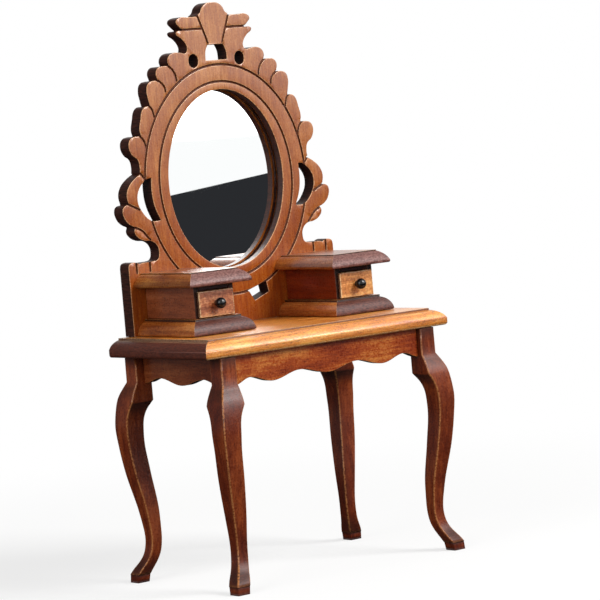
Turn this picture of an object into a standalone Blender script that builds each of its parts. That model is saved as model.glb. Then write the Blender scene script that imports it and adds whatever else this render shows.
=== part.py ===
"""A one-twelfth scale dressing table: a moulded top on four cabriole legs with scalloped aprons,
a fretted back board with a fixed oval mirror, and two small cabinets with one sliding drawer each.

Metres, +Z up, +X to the right, the front faces -Y. The origin lies on the floor under the middle.
"""

import math
from collections.abc import Callable, Iterable
from dataclasses import dataclass

import bmesh
import bpy
from mathutils import Vector

MM = 0.001

Section = tuple[float, float, float, float, float]
Point = tuple[float, float]


@dataclass(frozen=True)
class Moulding:
    """A moulded edge: a small step down, an ovolo, an upright nose and a rounded lower arris."""

    width: float
    step: float
    drop: float
    # 0 is a straight chamfer and 1 a quarter ellipse
    fullness: float
    nose_radius: float

    def profile(self, thickness: float) -> list[Point]:
        """(inset, depth below the top face) down the edge of a board of this thickness."""
        points = [(self.width, 0.0)]
        for index in range(OVOLO_STEPS + 1):
            share = index / OVOLO_STEPS
            angle = math.pi / 2 * share
            out = self.fullness * math.sin(angle) + (1 - self.fullness) * share
            down = self.fullness * (1 - math.cos(angle)) + (1 - self.fullness) * share
            points.append((self.width * (1 - out), self.step + self.drop * down))
        nose_depth = thickness - self.nose_radius
        for index in range(NOSE_STEPS + 1):
            angle = math.pi / 2 * index / NOSE_STEPS
            inset = self.nose_radius * (1 - math.cos(angle))
            points.append((inset, nose_depth + self.nose_radius * math.sin(angle)))
        return points


# Gaps
GLUE_GAP = 0.1 * MM
SLIDE_GAP = 0.25 * MM

# Table top
TABLE_HEIGHT = 66.0 * MM
TOP_WIDTH = 81.8 * MM
TOP_DEPTH = 43.6 * MM
TOP_THICKNESS = 4.9 * MM
TOP_FRONT_Y = -22.0 * MM

# Moulded edges of the table top and of each cabinet's base and top
TOP_EDGE = Moulding(width=3.4 * MM, step=0.5 * MM, drop=2.5 * MM, fullness=0.65, nose_radius=0.8 * MM)
BASE_EDGE = Moulding(width=2.6 * MM, step=0.6 * MM, drop=3.1 * MM, fullness=0.75, nose_radius=0.4 * MM)
CAP_EDGE = Moulding(width=2.6 * MM, step=0.25 * MM, drop=2.75 * MM, fullness=0.5, nose_radius=0.4 * MM)

# Legs: the square post, its inset from the top's side, back and front, and the swing of the cabriole
POST_SIDE = 5.0 * MM
POST_INSET_SIDE = 4.7 * MM
POST_INSET_BACK = 0.0 * MM
POST_INSET_FRONT = 0.4 * MM
# Swing of the outer and inner edges away from the post's edges, at depths below the leg's top ...
OUTER_KNEE = (
    (7.0, 0.05), (8.7, 0.95), (9.9, 1.6), (11.4, 2.1), (15.0, 2.7), (19.0, 3.0), (24.0, 2.65), (31.0, 1.85)
)
INNER_KNEE = ((12.2, 0.0), (15.0, 1.6), (18.0, 2.25), (22.5, 2.4), (31.0, 1.75))
# ... and at heights above the floor
OUTER_FOOT = ((18.0, -0.25), (11.5, -0.9), (8.0, -0.5), (5.0, 0.85), (2.4, 2.6), (0.0, 2.75))
INNER_FOOT = ((18.0, 0.7), (12.5, 0.65), (8.6, 0.95), (4.9, 2.1), (2.2, 3.4), (0.0, 3.7))
# The pad that steps in under each foot
PAD_HEIGHT = 2.2 * MM
PAD_INSET = 0.2 * MM

# Aprons
APRON_THICKNESS = 2.4 * MM
APRON_HEIGHT = 7.8 * MM
FRONT_APRON_RECESS = 1.4 * MM
SIDE_APRON_RECESS = 2.5 * MM
SCALLOP_DEPTH = 1.8 * MM
# Low and high points of the wave along half an apron, as shares of that half, with 0 low and 1 high
FRONT_SCALLOPS = ((0.0, 0.0), (0.31, 1.0), (0.6, 0.0), (0.84, 1.0), (1.0, 0.15))
SIDE_SCALLOPS = ((0.0, 0.0), (0.59, 1.0), (1.0, 0.2))

# Back board
BOARD_THICKNESS = 4.2 * MM
BOARD_INSET = 5.9 * MM
BOARD_HEIGHT = 87.4 * MM
# The oval is cut wider behind the board's front layer, and wider again where the mirror lies
FRONT_LAYER = 2.2 * MM
UNDERCUT_WIDTH = 0.6 * MM
REBATE_WIDTH = 1.5 * MM
REBATE_CLEARANCE = 0.2 * MM
GLASS_THICKNESS = 0.3 * MM
BACKING_THICKNESS = 0.2 * MM
BACKING_RECESS = 0.05 * MM

# The board's drawing, in millimetres from the middle of its foot, at the width and height given here.
# Each run is smooth, and the board has a sharp corner where one run meets the next.
DRAWN_WIDTH = 70.0
DRAWN_HEIGHT = 87.4
KEYSTONE_TOP = ((0.0, 87.4), (1.9, 87.2), (3.5, 86.1), (4.2, 84.8), (5.2, 84.1))
UPPER_ARM = ((5.4, 83.8), (8.4, 83.75), (11.2, 83.75), (12.5, 82.7), (11.7, 81.5), (10.5, 80.5))
LOWER_ARM = ((10.6, 80.15), (12.3, 80.15), (12.8, 79.6), (11.1, 78.1), (9.8, 76.5), (9.5, 75.2))
LEAVES = (
    ((10.1, 74.2), (12.2, 74.4), (14.1, 74.5), (15.8, 73.7), (16.4, 72.3), (16.1, 71.3)),
    ((16.3, 71.1), (18.0, 71.1), (19.7, 70.8), (20.6, 69.4), (20.2, 67.7)),
    ((20.2, 67.4), (21.7, 67.4), (23.4, 66.8), (24.1, 65.0), (23.8, 62.6), (23.4, 60.9)),
    ((23.4, 60.7), (24.9, 60.7), (26.1, 59.8), (26.9, 57.4), (27.5, 54.6), (27.2, 53.2)),
    ((27.2, 52.95), (29.0, 53.0), (30.8, 52.4), (31.5, 50.6), (30.6, 48.2),
     (29.0, 46.9), (28.5, 44.8), (28.6, 43.3)),
    ((28.4, 43.0), (30.4, 41.9), (32.6, 39.9), (33.5, 37.6), (33.1, 35.3)),
    ((33.1, 35.1), (34.5, 34.8), (35.2, 33.9), (34.8, 31.5), (33.4, 29.9), (31.8, 29.1)),
    ((31.7, 28.9), (32.0, 27.7), (31.0, 26.2), (29.0, 25.2), (26.6, 24.8),
     (25.0, 23.4), (24.6, 21.5), (25.2, 19.8), (26.8, 19.4)),
)
EAR = ((27.2, 19.4), (30.6, 19.35))
EAR_TIP = ((31.4, 19.1), (32.3, 19.6), (33.6, 19.7), (34.7, 19.2), (35.0, 18.2))
OVAL_CENTRE = 39.5
OPENING_RADII = (19.4, 24.3)
CRESCENT_INNER = ((25.1, 41.7), (25.3, 38.0), (24.7, 33.9), (23.1, 30.2))
CRESCENT_OUTER = ((23.1, 30.1), (25.9, 30.2), (28.7, 32.6), (30.1, 36.1), (29.2, 39.2), (26.8, 41.5))
ARCH_HOLE = ((-3.6, 71.75), (-3.4, 74.3), (-2.6, 76.0), (2.6, 76.0), (3.4, 74.3), (3.6, 71.75))
ROUND_HOLE = (7.8, 71.9)
ROUND_HOLE_RADII = (1.62, 1.92)
SPANDREL_HOLE = ((4.15, 8.28), (10.5, 10.2), (11.1, 7.3), (6.1, 5.35))

# Cabinets
CABINET_WIDTH = 20.3 * MM
CABINET_DEPTH = 25.5 * MM
CABINET_INSET = 1.0 * MM
CABINET_BASE_THICKNESS = 4.3 * MM
CABINET_TOP_THICKNESS = 3.7 * MM
CARCASE_HEIGHT = 8.4 * MM
CARCASE_INSET_SIDE = 3.65 * MM
CARCASE_INSET_FRONT = 3.85 * MM
CARCASE_WALL = 1.6 * MM
CARCASE_BACK = 1.2 * MM
RAIL_HEIGHT = 1.25 * MM
RAIL_DEPTH = 2.4 * MM

# Drawers
DRAWER_LAP = 0.8 * MM
DRAWER_FRONT_THICKNESS = 1.0 * MM
DRAWER_FRONT_LIFT = 0.12 * MM
DRAWER_BACK_ROOM = 1.0 * MM
DRAWER_WALL = 1.0 * MM
DRAWER_BOTTOM = 0.8 * MM
DRAWER_HEADROOM = 0.6 * MM
KNOB_DIAMETER = 2.95 * MM
KNOB_STANDOFF = 1.7 * MM
KNOB_NECK_DIAMETER = 1.7 * MM
KNOB_SPIGOT_DIAMETER = 0.8 * MM
KNOB_SPIGOT_PROUD = 0.3 * MM

# Mesh resolution
LEG_SECTION_STEP = 1.5 * MM
OVOLO_STEPS = 8
NOSE_STEPS = 4
CURVE_RESOLUTION = 4
OVAL_STEPS = 72
SCALLOP_STEP = 0.75 * MM
KNOB_STEPS = 18
KNOB_ARC_STEPS = 10
HOLE_STEPS = 20
ROUND_HOLE_POINTS = 6

# Places worked out from the sizes above
LEG_TOP_Z = TABLE_HEIGHT - TOP_THICKNESS - GLUE_GAP
TOP_BACK_Y = TOP_FRONT_Y + TOP_DEPTH
POST_X = TOP_WIDTH / 2 - POST_INSET_SIDE - POST_SIDE / 2
POST_BACK_Y = TOP_BACK_Y - POST_INSET_BACK - POST_SIDE / 2
POST_FRONT_Y = TOP_FRONT_Y + POST_INSET_FRONT + POST_SIDE / 2
BOARD_WIDTH = TOP_WIDTH - 2 * BOARD_INSET
BOARD_FRONT_Y = TOP_BACK_Y - BOARD_THICKNESS
MIRROR_LIP = BOARD_THICKNESS - GLASS_THICKNESS - BACKING_THICKNESS - 2 * GLUE_GAP - BACKING_RECESS
BOARD_FOOT_Z = TABLE_HEIGHT + GLUE_GAP
CABINET_BACK_Y = BOARD_FRONT_Y - GLUE_GAP
CABINET_FRONT_Y = CABINET_BACK_Y - CABINET_DEPTH
CABINET_X = BOARD_WIDTH / 2 - CABINET_INSET - CABINET_WIDTH / 2
BASE_Z = TABLE_HEIGHT + GLUE_GAP
CARCASE_Z = BASE_Z + CABINET_BASE_THICKNESS + GLUE_GAP
CARCASE_TOP_Z = CARCASE_Z + CARCASE_HEIGHT
CARCASE_FRONT_Y = CABINET_FRONT_Y + CARCASE_INSET_FRONT
CARCASE_HALF = CABINET_WIDTH / 2 - CARCASE_INSET_SIDE
BAY_HALF = CARCASE_HALF - CARCASE_WALL
RAIL_Z = CARCASE_TOP_Z - RAIL_HEIGHT


def clear_scene() -> None:
    """Removes whatever the file holds at the start."""
    for obj in list(bpy.data.objects):
        bpy.data.objects.remove(obj)


def make_collection(name: str) -> bpy.types.Collection:
    """A new collection in the scene."""
    collection = bpy.data.collections.new(name)
    bpy.context.scene.collection.children.link(collection)
    return collection


def make_finish(
    name: str, colour: tuple[float, float, float], roughness: float, metallic: float = 0.0
) -> bpy.types.Material:
    """A Principled material of one linear colour."""
    finish = bpy.data.materials.new(name)
    finish.use_nodes = True
    shader = finish.node_tree.nodes["Principled BSDF"]
    shader.inputs["Base Color"].default_value = (*colour, 1.0)
    shader.inputs["Roughness"].default_value = roughness
    shader.inputs["Metallic"].default_value = metallic
    return finish


class Workshop:
    """The collections, finishes and root empty that every piece shares."""

    def __init__(self) -> None:
        self.parts = make_collection("miniature_dressing_table")
        self.cutters = make_collection("cutters")
        self.walnut = make_finish("stained_walnut", (0.19, 0.062, 0.024), 0.35)
        self.honey = make_finish("honey_birch", (0.44, 0.19, 0.065), 0.35)
        self.board = make_finish("fretted_board", (0.46, 0.22, 0.11), 0.45)
        self.bare = make_finish("bare_wood", (0.55, 0.37, 0.2), 0.7)
        self.mirror = make_finish("mirror", (0.8, 0.82, 0.84), 0.03, 1.0)
        self.card = make_finish("card", (0.35, 0.28, 0.2), 0.9)
        self.black = make_finish("black_gloss", (0.01, 0.01, 0.012), 0.15)
        self.root = self.empty("dressing_table_origin", Vector((0.0, 0.0, 0.0)), None)

    def empty(self, name: str, location: Vector, parent: bpy.types.Object | None) -> bpy.types.Object:
        """An empty that carries pieces, at a place in the whole object's frame."""
        anchor = bpy.data.objects.new(name, None)
        self.parts.objects.link(anchor)
        self.attach(anchor, location, parent)
        return anchor

    def attach(self, obj: bpy.types.Object, location: Vector, parent: bpy.types.Object | None) -> None:
        """Parents an object and puts it at a place in the whole object's frame."""
        obj.parent = parent
        obj.location = location - (self.anchor_place(parent) if parent else Vector((0.0, 0.0, 0.0)))

    def anchor_place(self, anchor: bpy.types.Object | None) -> Vector:
        """The place of an empty in the whole object's frame."""
        place = Vector((0.0, 0.0, 0.0))
        while anchor:
            place = place + anchor.location
            anchor = anchor.parent
        return place

    def piece(
        self,
        name: str,
        bm: bmesh.types.BMesh,
        finish: bpy.types.Material,
        location: Vector | None = None,
        parent: bpy.types.Object | None = None,
    ) -> bpy.types.Object:
        """One named part from a bmesh, which is freed."""
        bmesh.ops.recalc_face_normals(bm, faces=bm.faces)
        mesh = bpy.data.meshes.new(name)
        bm.to_mesh(mesh)
        bm.free()
        mesh.materials.append(finish)
        obj = bpy.data.objects.new(name, mesh)
        self.parts.objects.link(obj)
        self.attach(obj, location or Vector((0.0, 0.0, 0.0)), parent or self.root)
        return obj

    def cut(self, obj: bpy.types.Object, cutter: bpy.types.Object) -> None:
        """Cuts a helper object out of a part."""
        for collection in list(cutter.users_collection):
            collection.objects.unlink(cutter)
        self.cutters.objects.link(cutter)
        cutter.hide_render = True
        cutter.display_type = "WIRE"
        boolean = obj.modifiers.new("cut_" + cutter.name, "BOOLEAN")
        boolean.operation = "DIFFERENCE"
        boolean.solver = "EXACT"
        boolean.object = cutter


def block(low: Vector, high: Vector) -> tuple[bmesh.types.BMesh, Vector]:
    """A box between two corners, centred on its own origin, and the place of that origin."""
    bm = bmesh.new()
    bmesh.ops.create_cube(bm, size=1.0)
    bmesh.ops.scale(bm, vec=high - low, verts=bm.verts)
    return bm, (low + high) / 2


def stack(sections: Iterable[Section]) -> bmesh.types.BMesh:
    """A solid extruded through rectangles (x0, x1, y0, y1, z), one after the other."""
    bm = bmesh.new()
    bmesh.ops.create_grid(bm, x_segments=1, y_segments=1, size=1.0)
    (face,) = bm.faces
    corners = {vert: (vert.co.x > 0, vert.co.y > 0) for vert in face.verts}
    for index, (x0, x1, y0, y1, z) in enumerate(sections):
        if index:
            before = {vert.co.to_tuple(): side for vert, side in corners.items()}
            made = bmesh.ops.extrude_face_region(bm, geom=[face, *face.edges])["geom"]
            face = next(item for item in made if isinstance(item, bmesh.types.BMFace))
            corners = {vert: before[vert.co.to_tuple()] for vert in face.verts}
        for vert, (right, back) in corners.items():
            vert.co = (x1 if right else x0, y1 if back else y0, z)
    return bm


def prism(
    workshop: Workshop,
    name: str,
    outlines: list[list[Point]],
    thickness: float,
    smooth_corners: dict[int, set[int]],
) -> bmesh.types.BMesh:
    """A flat board standing in the XZ plane, its front at y = 0 and its back at y = thickness.

    The first outline is the board's edge and the others are holes. An outline whose index is a key of
    smooth_corners is a Bezier spline with sharp points at the listed places, and the others are polygons.
    """
    curve = bpy.data.curves.new(name, "CURVE")
    curve.dimensions = "2D"
    curve.fill_mode = "BOTH"
    curve.extrude = thickness / 2
    curve.resolution_u = CURVE_RESOLUTION
    for index, outline in enumerate(outlines):
        smooth = index in smooth_corners
        spline = curve.splines.new("BEZIER" if smooth else "POLY")
        spline.use_cyclic_u = True
        points = spline.bezier_points if smooth else spline.points
        points.add(len(outline) - 1)
        for place, (point, (x, z)) in enumerate(zip(points, outline)):
            point.co = (x, z, 0.0) if smooth else (x, z, 0.0, 1.0)
            if smooth:
                handle = "VECTOR" if place in smooth_corners[index] else "AUTO"
                point.handle_left_type = handle
                point.handle_right_type = handle
    drawing = bpy.data.objects.new(name, curve)
    workshop.cutters.objects.link(drawing)
    bpy.context.view_layer.update()
    mesh = bpy.data.meshes.new_from_object(drawing.evaluated_get(bpy.context.evaluated_depsgraph_get()))
    bpy.data.objects.remove(drawing)
    bm = bmesh.new()
    bm.from_mesh(mesh)
    bpy.data.meshes.remove(mesh)
    bmesh.ops.remove_doubles(bm, verts=bm.verts, dist=1e-6)
    for vert in bm.verts:
        vert.co = (vert.co.x, thickness / 2 - vert.co.z, vert.co.y)
    return bm


def elliptic_disc(radii: Point, thickness: float, steps: int) -> bmesh.types.BMesh:
    """An oval plate standing in the XZ plane, centred on its origin, its front at y = 0."""
    bm = bmesh.new()
    bmesh.ops.create_cone(
        bm, cap_ends=True, cap_tris=False, segments=steps, radius1=1.0, radius2=1.0, depth=thickness
    )
    for vert in bm.verts:
        vert.co = (vert.co.x * radii[0], thickness / 2 - vert.co.z, vert.co.y * radii[1])
    return bm


def moulded_board(
    width: float, front_y: float, back_y: float, thickness: float, edge: Moulding
) -> bmesh.types.BMesh:
    """A board moulded along its front and both ends, with a flat back edge, its underside at z = 0."""
    half = width / 2
    return stack(
        (inset - half, half - inset, front_y + inset, back_y, thickness - depth)
        for inset, depth in edge.profile(thickness)
    )


def curve_through(points: list[Point]) -> Callable[[float], float]:
    """A smooth function through (place, value) points, which overshoots none of them (monotone cubic)."""
    places = [place for place, _ in points]
    slopes = [(b[1] - a[1]) / (b[0] - a[0]) for a, b in zip(points, points[1:])]
    tangents = [slopes[0]]
    for before, after in zip(slopes, slopes[1:]):
        tangents.append(2 * before * after / (before + after) if before * after > 0 else 0.0)
    tangents.append(slopes[-1])

    def value(place: float) -> float:
        index = max(i for i in range(len(points) - 1) if i == 0 or places[i] <= place)
        (start, low), (end, high) = points[index], points[index + 1]
        span = end - start
        t = (place - start) / span
        ease = t * t * (3 - 2 * t)
        swing = span * t * (1 - t)
        return low + (high - low) * ease + swing * ((1 - t) * tangents[index] - t * tangents[index + 1])

    return value


def swing_curve(knee: tuple[Point, ...], foot: tuple[Point, ...]) -> Callable[[float], float]:
    """A leg edge's swing at a height, from knee points below the top and foot points above the floor."""
    from_top = [(LEG_TOP_Z - depth * MM, swing * MM) for depth, swing in knee]
    from_floor = [(height * MM, swing * MM) for height, swing in foot]
    return curve_through(sorted(from_top + from_floor))


def leg_sections(out_x: int, out_y: int) -> list[Section]:
    """Square sections of one leg, from its top to its foot, round the post's own axis.

    The swing of both edges follows the corner's diagonal, towards out_x and out_y.
    """
    outer = swing_curve(OUTER_KNEE, OUTER_FOOT)
    inner = swing_curve(INNER_KNEE, INNER_FOOT)
    shoulder = LEG_TOP_Z - OUTER_KNEE[0][0] * MM
    corner = LEG_TOP_Z - INNER_KNEE[0][0] * MM
    steps = math.ceil((shoulder - PAD_HEIGHT) / LEG_SECTION_STEP)
    heights = {PAD_HEIGHT + (shoulder - PAD_HEIGHT) * index / steps for index in range(steps + 1)}
    levels = [(z, 0.0) for z in sorted(heights | {LEG_TOP_Z, corner}, reverse=True)]
    levels += [(PAD_HEIGHT, PAD_INSET), (0.0, PAD_INSET)]
    sections = []
    for z, inset in levels:
        far = POST_SIDE / 2 + (outer(z) if z <= shoulder else 0.0) - inset
        near = -POST_SIDE / 2 + (inner(z) if z < corner else 0.0) + inset
        xs = sorted((out_x * near, out_x * far))
        ys = sorted((out_y * near, out_y * far))
        sections.append((*xs, *ys, z))
    return sections


def build_table(workshop: Workshop) -> None:
    """The moulded top, the four legs and the four aprons."""
    top = moulded_board(TOP_WIDTH, TOP_FRONT_Y, TOP_BACK_Y, TOP_THICKNESS, TOP_EDGE)
    workshop.piece("table_top", top, workshop.honey, Vector((0.0, 0.0, TABLE_HEIGHT - TOP_THICKNESS)))
    for row, out_y, post_y in (("front", -1, POST_FRONT_Y), ("back", 1, POST_BACK_Y)):
        for side, out_x in (("left", -1), ("right", 1)):
            leg = stack(leg_sections(out_x, out_y))
            workshop.piece(f"{row}_{side}_leg", leg, workshop.walnut, Vector((out_x * POST_X, post_y, 0.0)))
    build_aprons(workshop)


def apron_outline(half: float, scallops: tuple[Point, ...]) -> list[Point]:
    """An apron's outline: a straight top edge and a lower edge that eases between its low and high points."""
    low_z = LEG_TOP_Z - APRON_HEIGHT
    outline = [(-half, LEG_TOP_Z), (half, LEG_TOP_Z)]
    steps = math.ceil(half / SCALLOP_STEP)
    for index in range(steps, -steps - 1, -1):
        x = half * index / steps
        share = abs(index) / steps
        (start, low), (end, high) = next(pair for pair in zip(scallops, scallops[1:]) if share <= pair[1][0])
        ease = (1 - math.cos(math.pi * (share - start) / (end - start))) / 2
        outline.append((x, low_z + SCALLOP_DEPTH * (low + (high - low) * ease)))
    return outline


def build_aprons(workshop: Workshop) -> None:
    """The scalloped front and side aprons and the plain back one, between the legs' posts."""
    front_half = POST_X - POST_SIDE / 2 - GLUE_GAP
    side_half = (POST_BACK_Y - POST_FRONT_Y - POST_SIDE) / 2 - GLUE_GAP
    middle_y = (POST_BACK_Y + POST_FRONT_Y) / 2
    front_y = POST_FRONT_Y - POST_SIDE / 2 + FRONT_APRON_RECESS
    front = prism(workshop, "front_apron", [apron_outline(front_half, FRONT_SCALLOPS)], APRON_THICKNESS, {})
    workshop.piece("front_apron", front, workshop.walnut, Vector((0.0, front_y, 0.0)))
    back_y = POST_BACK_Y + POST_SIDE / 2 - FRONT_APRON_RECESS
    low = Vector((-front_half, back_y - APRON_THICKNESS, LEG_TOP_Z - APRON_HEIGHT + SCALLOP_DEPTH))
    back, place = block(low, Vector((front_half, back_y, LEG_TOP_Z)))
    workshop.piece("back_apron", back, workshop.walnut, place)
    for side, out_x in (("left", -1), ("right", 1)):
        name = f"{side}_apron"
        apron = prism(workshop, name, [apron_outline(side_half, SIDE_SCALLOPS)], APRON_THICKNESS, {})
        obj = workshop.piece(name, apron, workshop.walnut)
        outer_x = POST_X + POST_SIDE / 2 - SIDE_APRON_RECESS
        workshop.attach(obj, Vector((out_x * outer_x, middle_y, 0.0)), workshop.root)
        obj.rotation_euler = (0.0, 0.0, out_x * math.pi / 2)


def drawn(points: Iterable[Point]) -> list[Point]:
    """Points of the board's drawing at the board's own width and height, in the whole object's frame."""
    across = BOARD_WIDTH / DRAWN_WIDTH
    up = BOARD_HEIGHT / DRAWN_HEIGHT
    return [(x * across, BOARD_FOOT_Z + z * up) for x, z in points]


def mirrored(points: Iterable[Point]) -> list[Point]:
    """The same points on the board's left half, in the opposite order."""
    return [(-x, z) for x, z in reversed(list(points))]


def board_edge() -> tuple[list[Point], set[int]]:
    """The board's outline, clockwise from the middle of its crest, and the places of its sharp corners."""
    foot = ((DRAWN_WIDTH / 2, 0.0),)
    runs = [KEYSTONE_TOP, UPPER_ARM, LOWER_ARM + LEAVES[0], *LEAVES[1:], EAR, EAR_TIP, foot]
    points: list[Point] = []
    sharp: set[int] = set()
    for run in runs:
        sharp |= {len(points), len(points) + len(run) - 1}
        points.extend(run)
    sharp.discard(0)
    count = len(points)
    points += mirrored(points[1:])
    sharp |= {2 * count - 1 - place for place in sharp}
    return drawn(points), sharp


def board_holes() -> tuple[list[list[Point]], list[set[int]]]:
    """The crescents, the arch, the round holes and the spandrel holes, with each one's sharp corners."""
    crescent = [*CRESCENT_INNER, *CRESCENT_OUTER]
    crescent_tips = {0, len(CRESCENT_INNER) - 1, len(CRESCENT_INNER), len(crescent) - 1}
    x, z = ROUND_HOLE
    across, up = ROUND_HOLE_RADII
    turns = [math.tau * index / ROUND_HOLE_POINTS for index in range(ROUND_HOLE_POINTS)]
    ring = [(x + across * math.cos(turn), z + up * math.sin(turn)) for turn in turns]
    holes = [drawn(ARCH_HOLE)]
    corners = [{0, 2, 3, 5}]
    for half, tips in ((crescent, crescent_tips), (ring, set()), (list(SPANDREL_HOLE), {0, 1, 2, 3})):
        holes += [drawn(half), drawn(mirrored(half))]
        corners += [tips, {len(half) - 1 - tip for tip in tips}]
    return holes, corners


def build_board(workshop: Workshop) -> None:
    """The fretted back board, cut for its mirror, with the glass and the card behind it."""
    edge, edge_corners = board_edge()
    holes, hole_corners = board_holes()
    smooth = dict(enumerate([edge_corners, *hole_corners]))
    board = prism(workshop, "back_board", [edge, *holes], BOARD_THICKNESS, smooth)
    board_obj = workshop.piece("back_board", board, workshop.board, Vector((0.0, BOARD_FRONT_Y, 0.0)))
    radii = (OPENING_RADII[0] * BOARD_WIDTH / DRAWN_WIDTH, OPENING_RADII[1] * BOARD_HEIGHT / DRAWN_HEIGHT)
    ((_, centre_z),) = drawn([(0.0, OVAL_CENTRE)])
    undercut = tuple(radius + UNDERCUT_WIDTH for radius in radii)
    rebate = tuple(radius + REBATE_WIDTH for radius in undercut)
    plate = tuple(radius - REBATE_CLEARANCE for radius in rebate)
    lip_y = BOARD_FRONT_Y + MIRROR_LIP
    for name, size, start_y in (
        ("oval_opening", radii, BOARD_FRONT_Y - BOARD_THICKNESS),
        ("oval_undercut", undercut, BOARD_FRONT_Y + FRONT_LAYER),
        ("mirror_rebate", rebate, lip_y),
    ):
        hole = elliptic_disc(size, 3 * BOARD_THICKNESS, OVAL_STEPS)
        workshop.cut(board_obj, workshop.piece(name, hole, workshop.board, Vector((0.0, start_y, centre_z))))
    glass_y = lip_y + GLUE_GAP
    glass = elliptic_disc(plate, GLASS_THICKNESS, OVAL_STEPS)
    workshop.piece("mirror_glass", glass, workshop.mirror, Vector((0.0, glass_y, centre_z)))
    card_y = glass_y + GLASS_THICKNESS + GLUE_GAP
    card = elliptic_disc(plate, BACKING_THICKNESS, OVAL_STEPS)
    workshop.piece("mirror_backing", card, workshop.card, Vector((0.0, card_y, centre_z)))


def build_cabinet(workshop: Workshop, side: str, out_x: int) -> None:
    """One cabinet: moulded base and top boards, two sides, a back and the rail over the drawer."""
    centre = out_x * CABINET_X
    for name, thickness, z, edge in (
        ("base", CABINET_BASE_THICKNESS, BASE_Z, BASE_EDGE),
        ("top", CABINET_TOP_THICKNESS, CARCASE_TOP_Z + GLUE_GAP, CAP_EDGE),
    ):
        board = moulded_board(CABINET_WIDTH, CABINET_FRONT_Y, CABINET_BACK_Y, thickness, edge)
        workshop.piece(f"{side}_cabinet_{name}", board, workshop.walnut, Vector((centre, 0.0, z)))
    for name, out in (("outer_side", out_x), ("inner_side", -out_x)):
        near, far = sorted((centre + out * BAY_HALF, centre + out * CARCASE_HALF))
        low = Vector((near, CARCASE_FRONT_Y, CARCASE_Z))
        wall, place = block(low, Vector((far, CABINET_BACK_Y, CARCASE_TOP_Z)))
        workshop.piece(f"{side}_cabinet_{name}", wall, workshop.walnut, place)
    between = BAY_HALF - GLUE_GAP
    low = Vector((centre - between, CABINET_BACK_Y - CARCASE_BACK, CARCASE_Z))
    back, place = block(low, Vector((centre + between, CABINET_BACK_Y, CARCASE_TOP_Z)))
    workshop.piece(f"{side}_cabinet_back", back, workshop.bare, place)
    low = Vector((centre - between, CARCASE_FRONT_Y, RAIL_Z))
    rail, place = block(low, Vector((centre + between, CARCASE_FRONT_Y + RAIL_DEPTH, CARCASE_TOP_Z)))
    workshop.piece(f"{side}_cabinet_rail", rail, workshop.walnut, place)


def knob_profile() -> list[Point]:
    """(radius, height) down a knob: a ball on a neck, and a spigot that goes through the drawer front."""
    ball = KNOB_DIAMETER / 2
    neck = KNOB_NECK_DIAMETER / 2
    spigot = KNOB_SPIGOT_DIAMETER / 2
    last = math.pi - math.asin(neck / ball)
    arc = [last * index / KNOB_ARC_STEPS for index in range(KNOB_ARC_STEPS + 1)]
    profile = [(ball * math.sin(angle), KNOB_STANDOFF + ball * math.cos(angle)) for angle in arc]
    end = -DRAWER_FRONT_THICKNESS - KNOB_SPIGOT_PROUD
    return [*profile, (neck, GLUE_GAP), (spigot, GLUE_GAP), (spigot, end), (0.0, end)]


def turned(profile: list[Point]) -> bmesh.types.BMesh:
    """A solid turned from a (radius, height) profile, its axis along -Y, with height 0 at its origin."""
    bm = bmesh.new()
    verts = [bm.verts.new((radius, -height, 0.0)) for radius, height in profile]
    edges = [bm.edges.new(pair) for pair in zip(verts, verts[1:])]
    bmesh.ops.spin(
        bm,
        geom=[*verts, *edges],
        cent=(0.0, 0.0, 0.0),
        axis=(0.0, 1.0, 0.0),
        angle=math.tau,
        steps=KNOB_STEPS,
        use_merge=True,
    )
    bmesh.ops.remove_doubles(bm, verts=bm.verts, dist=1e-6)
    return bm


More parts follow.
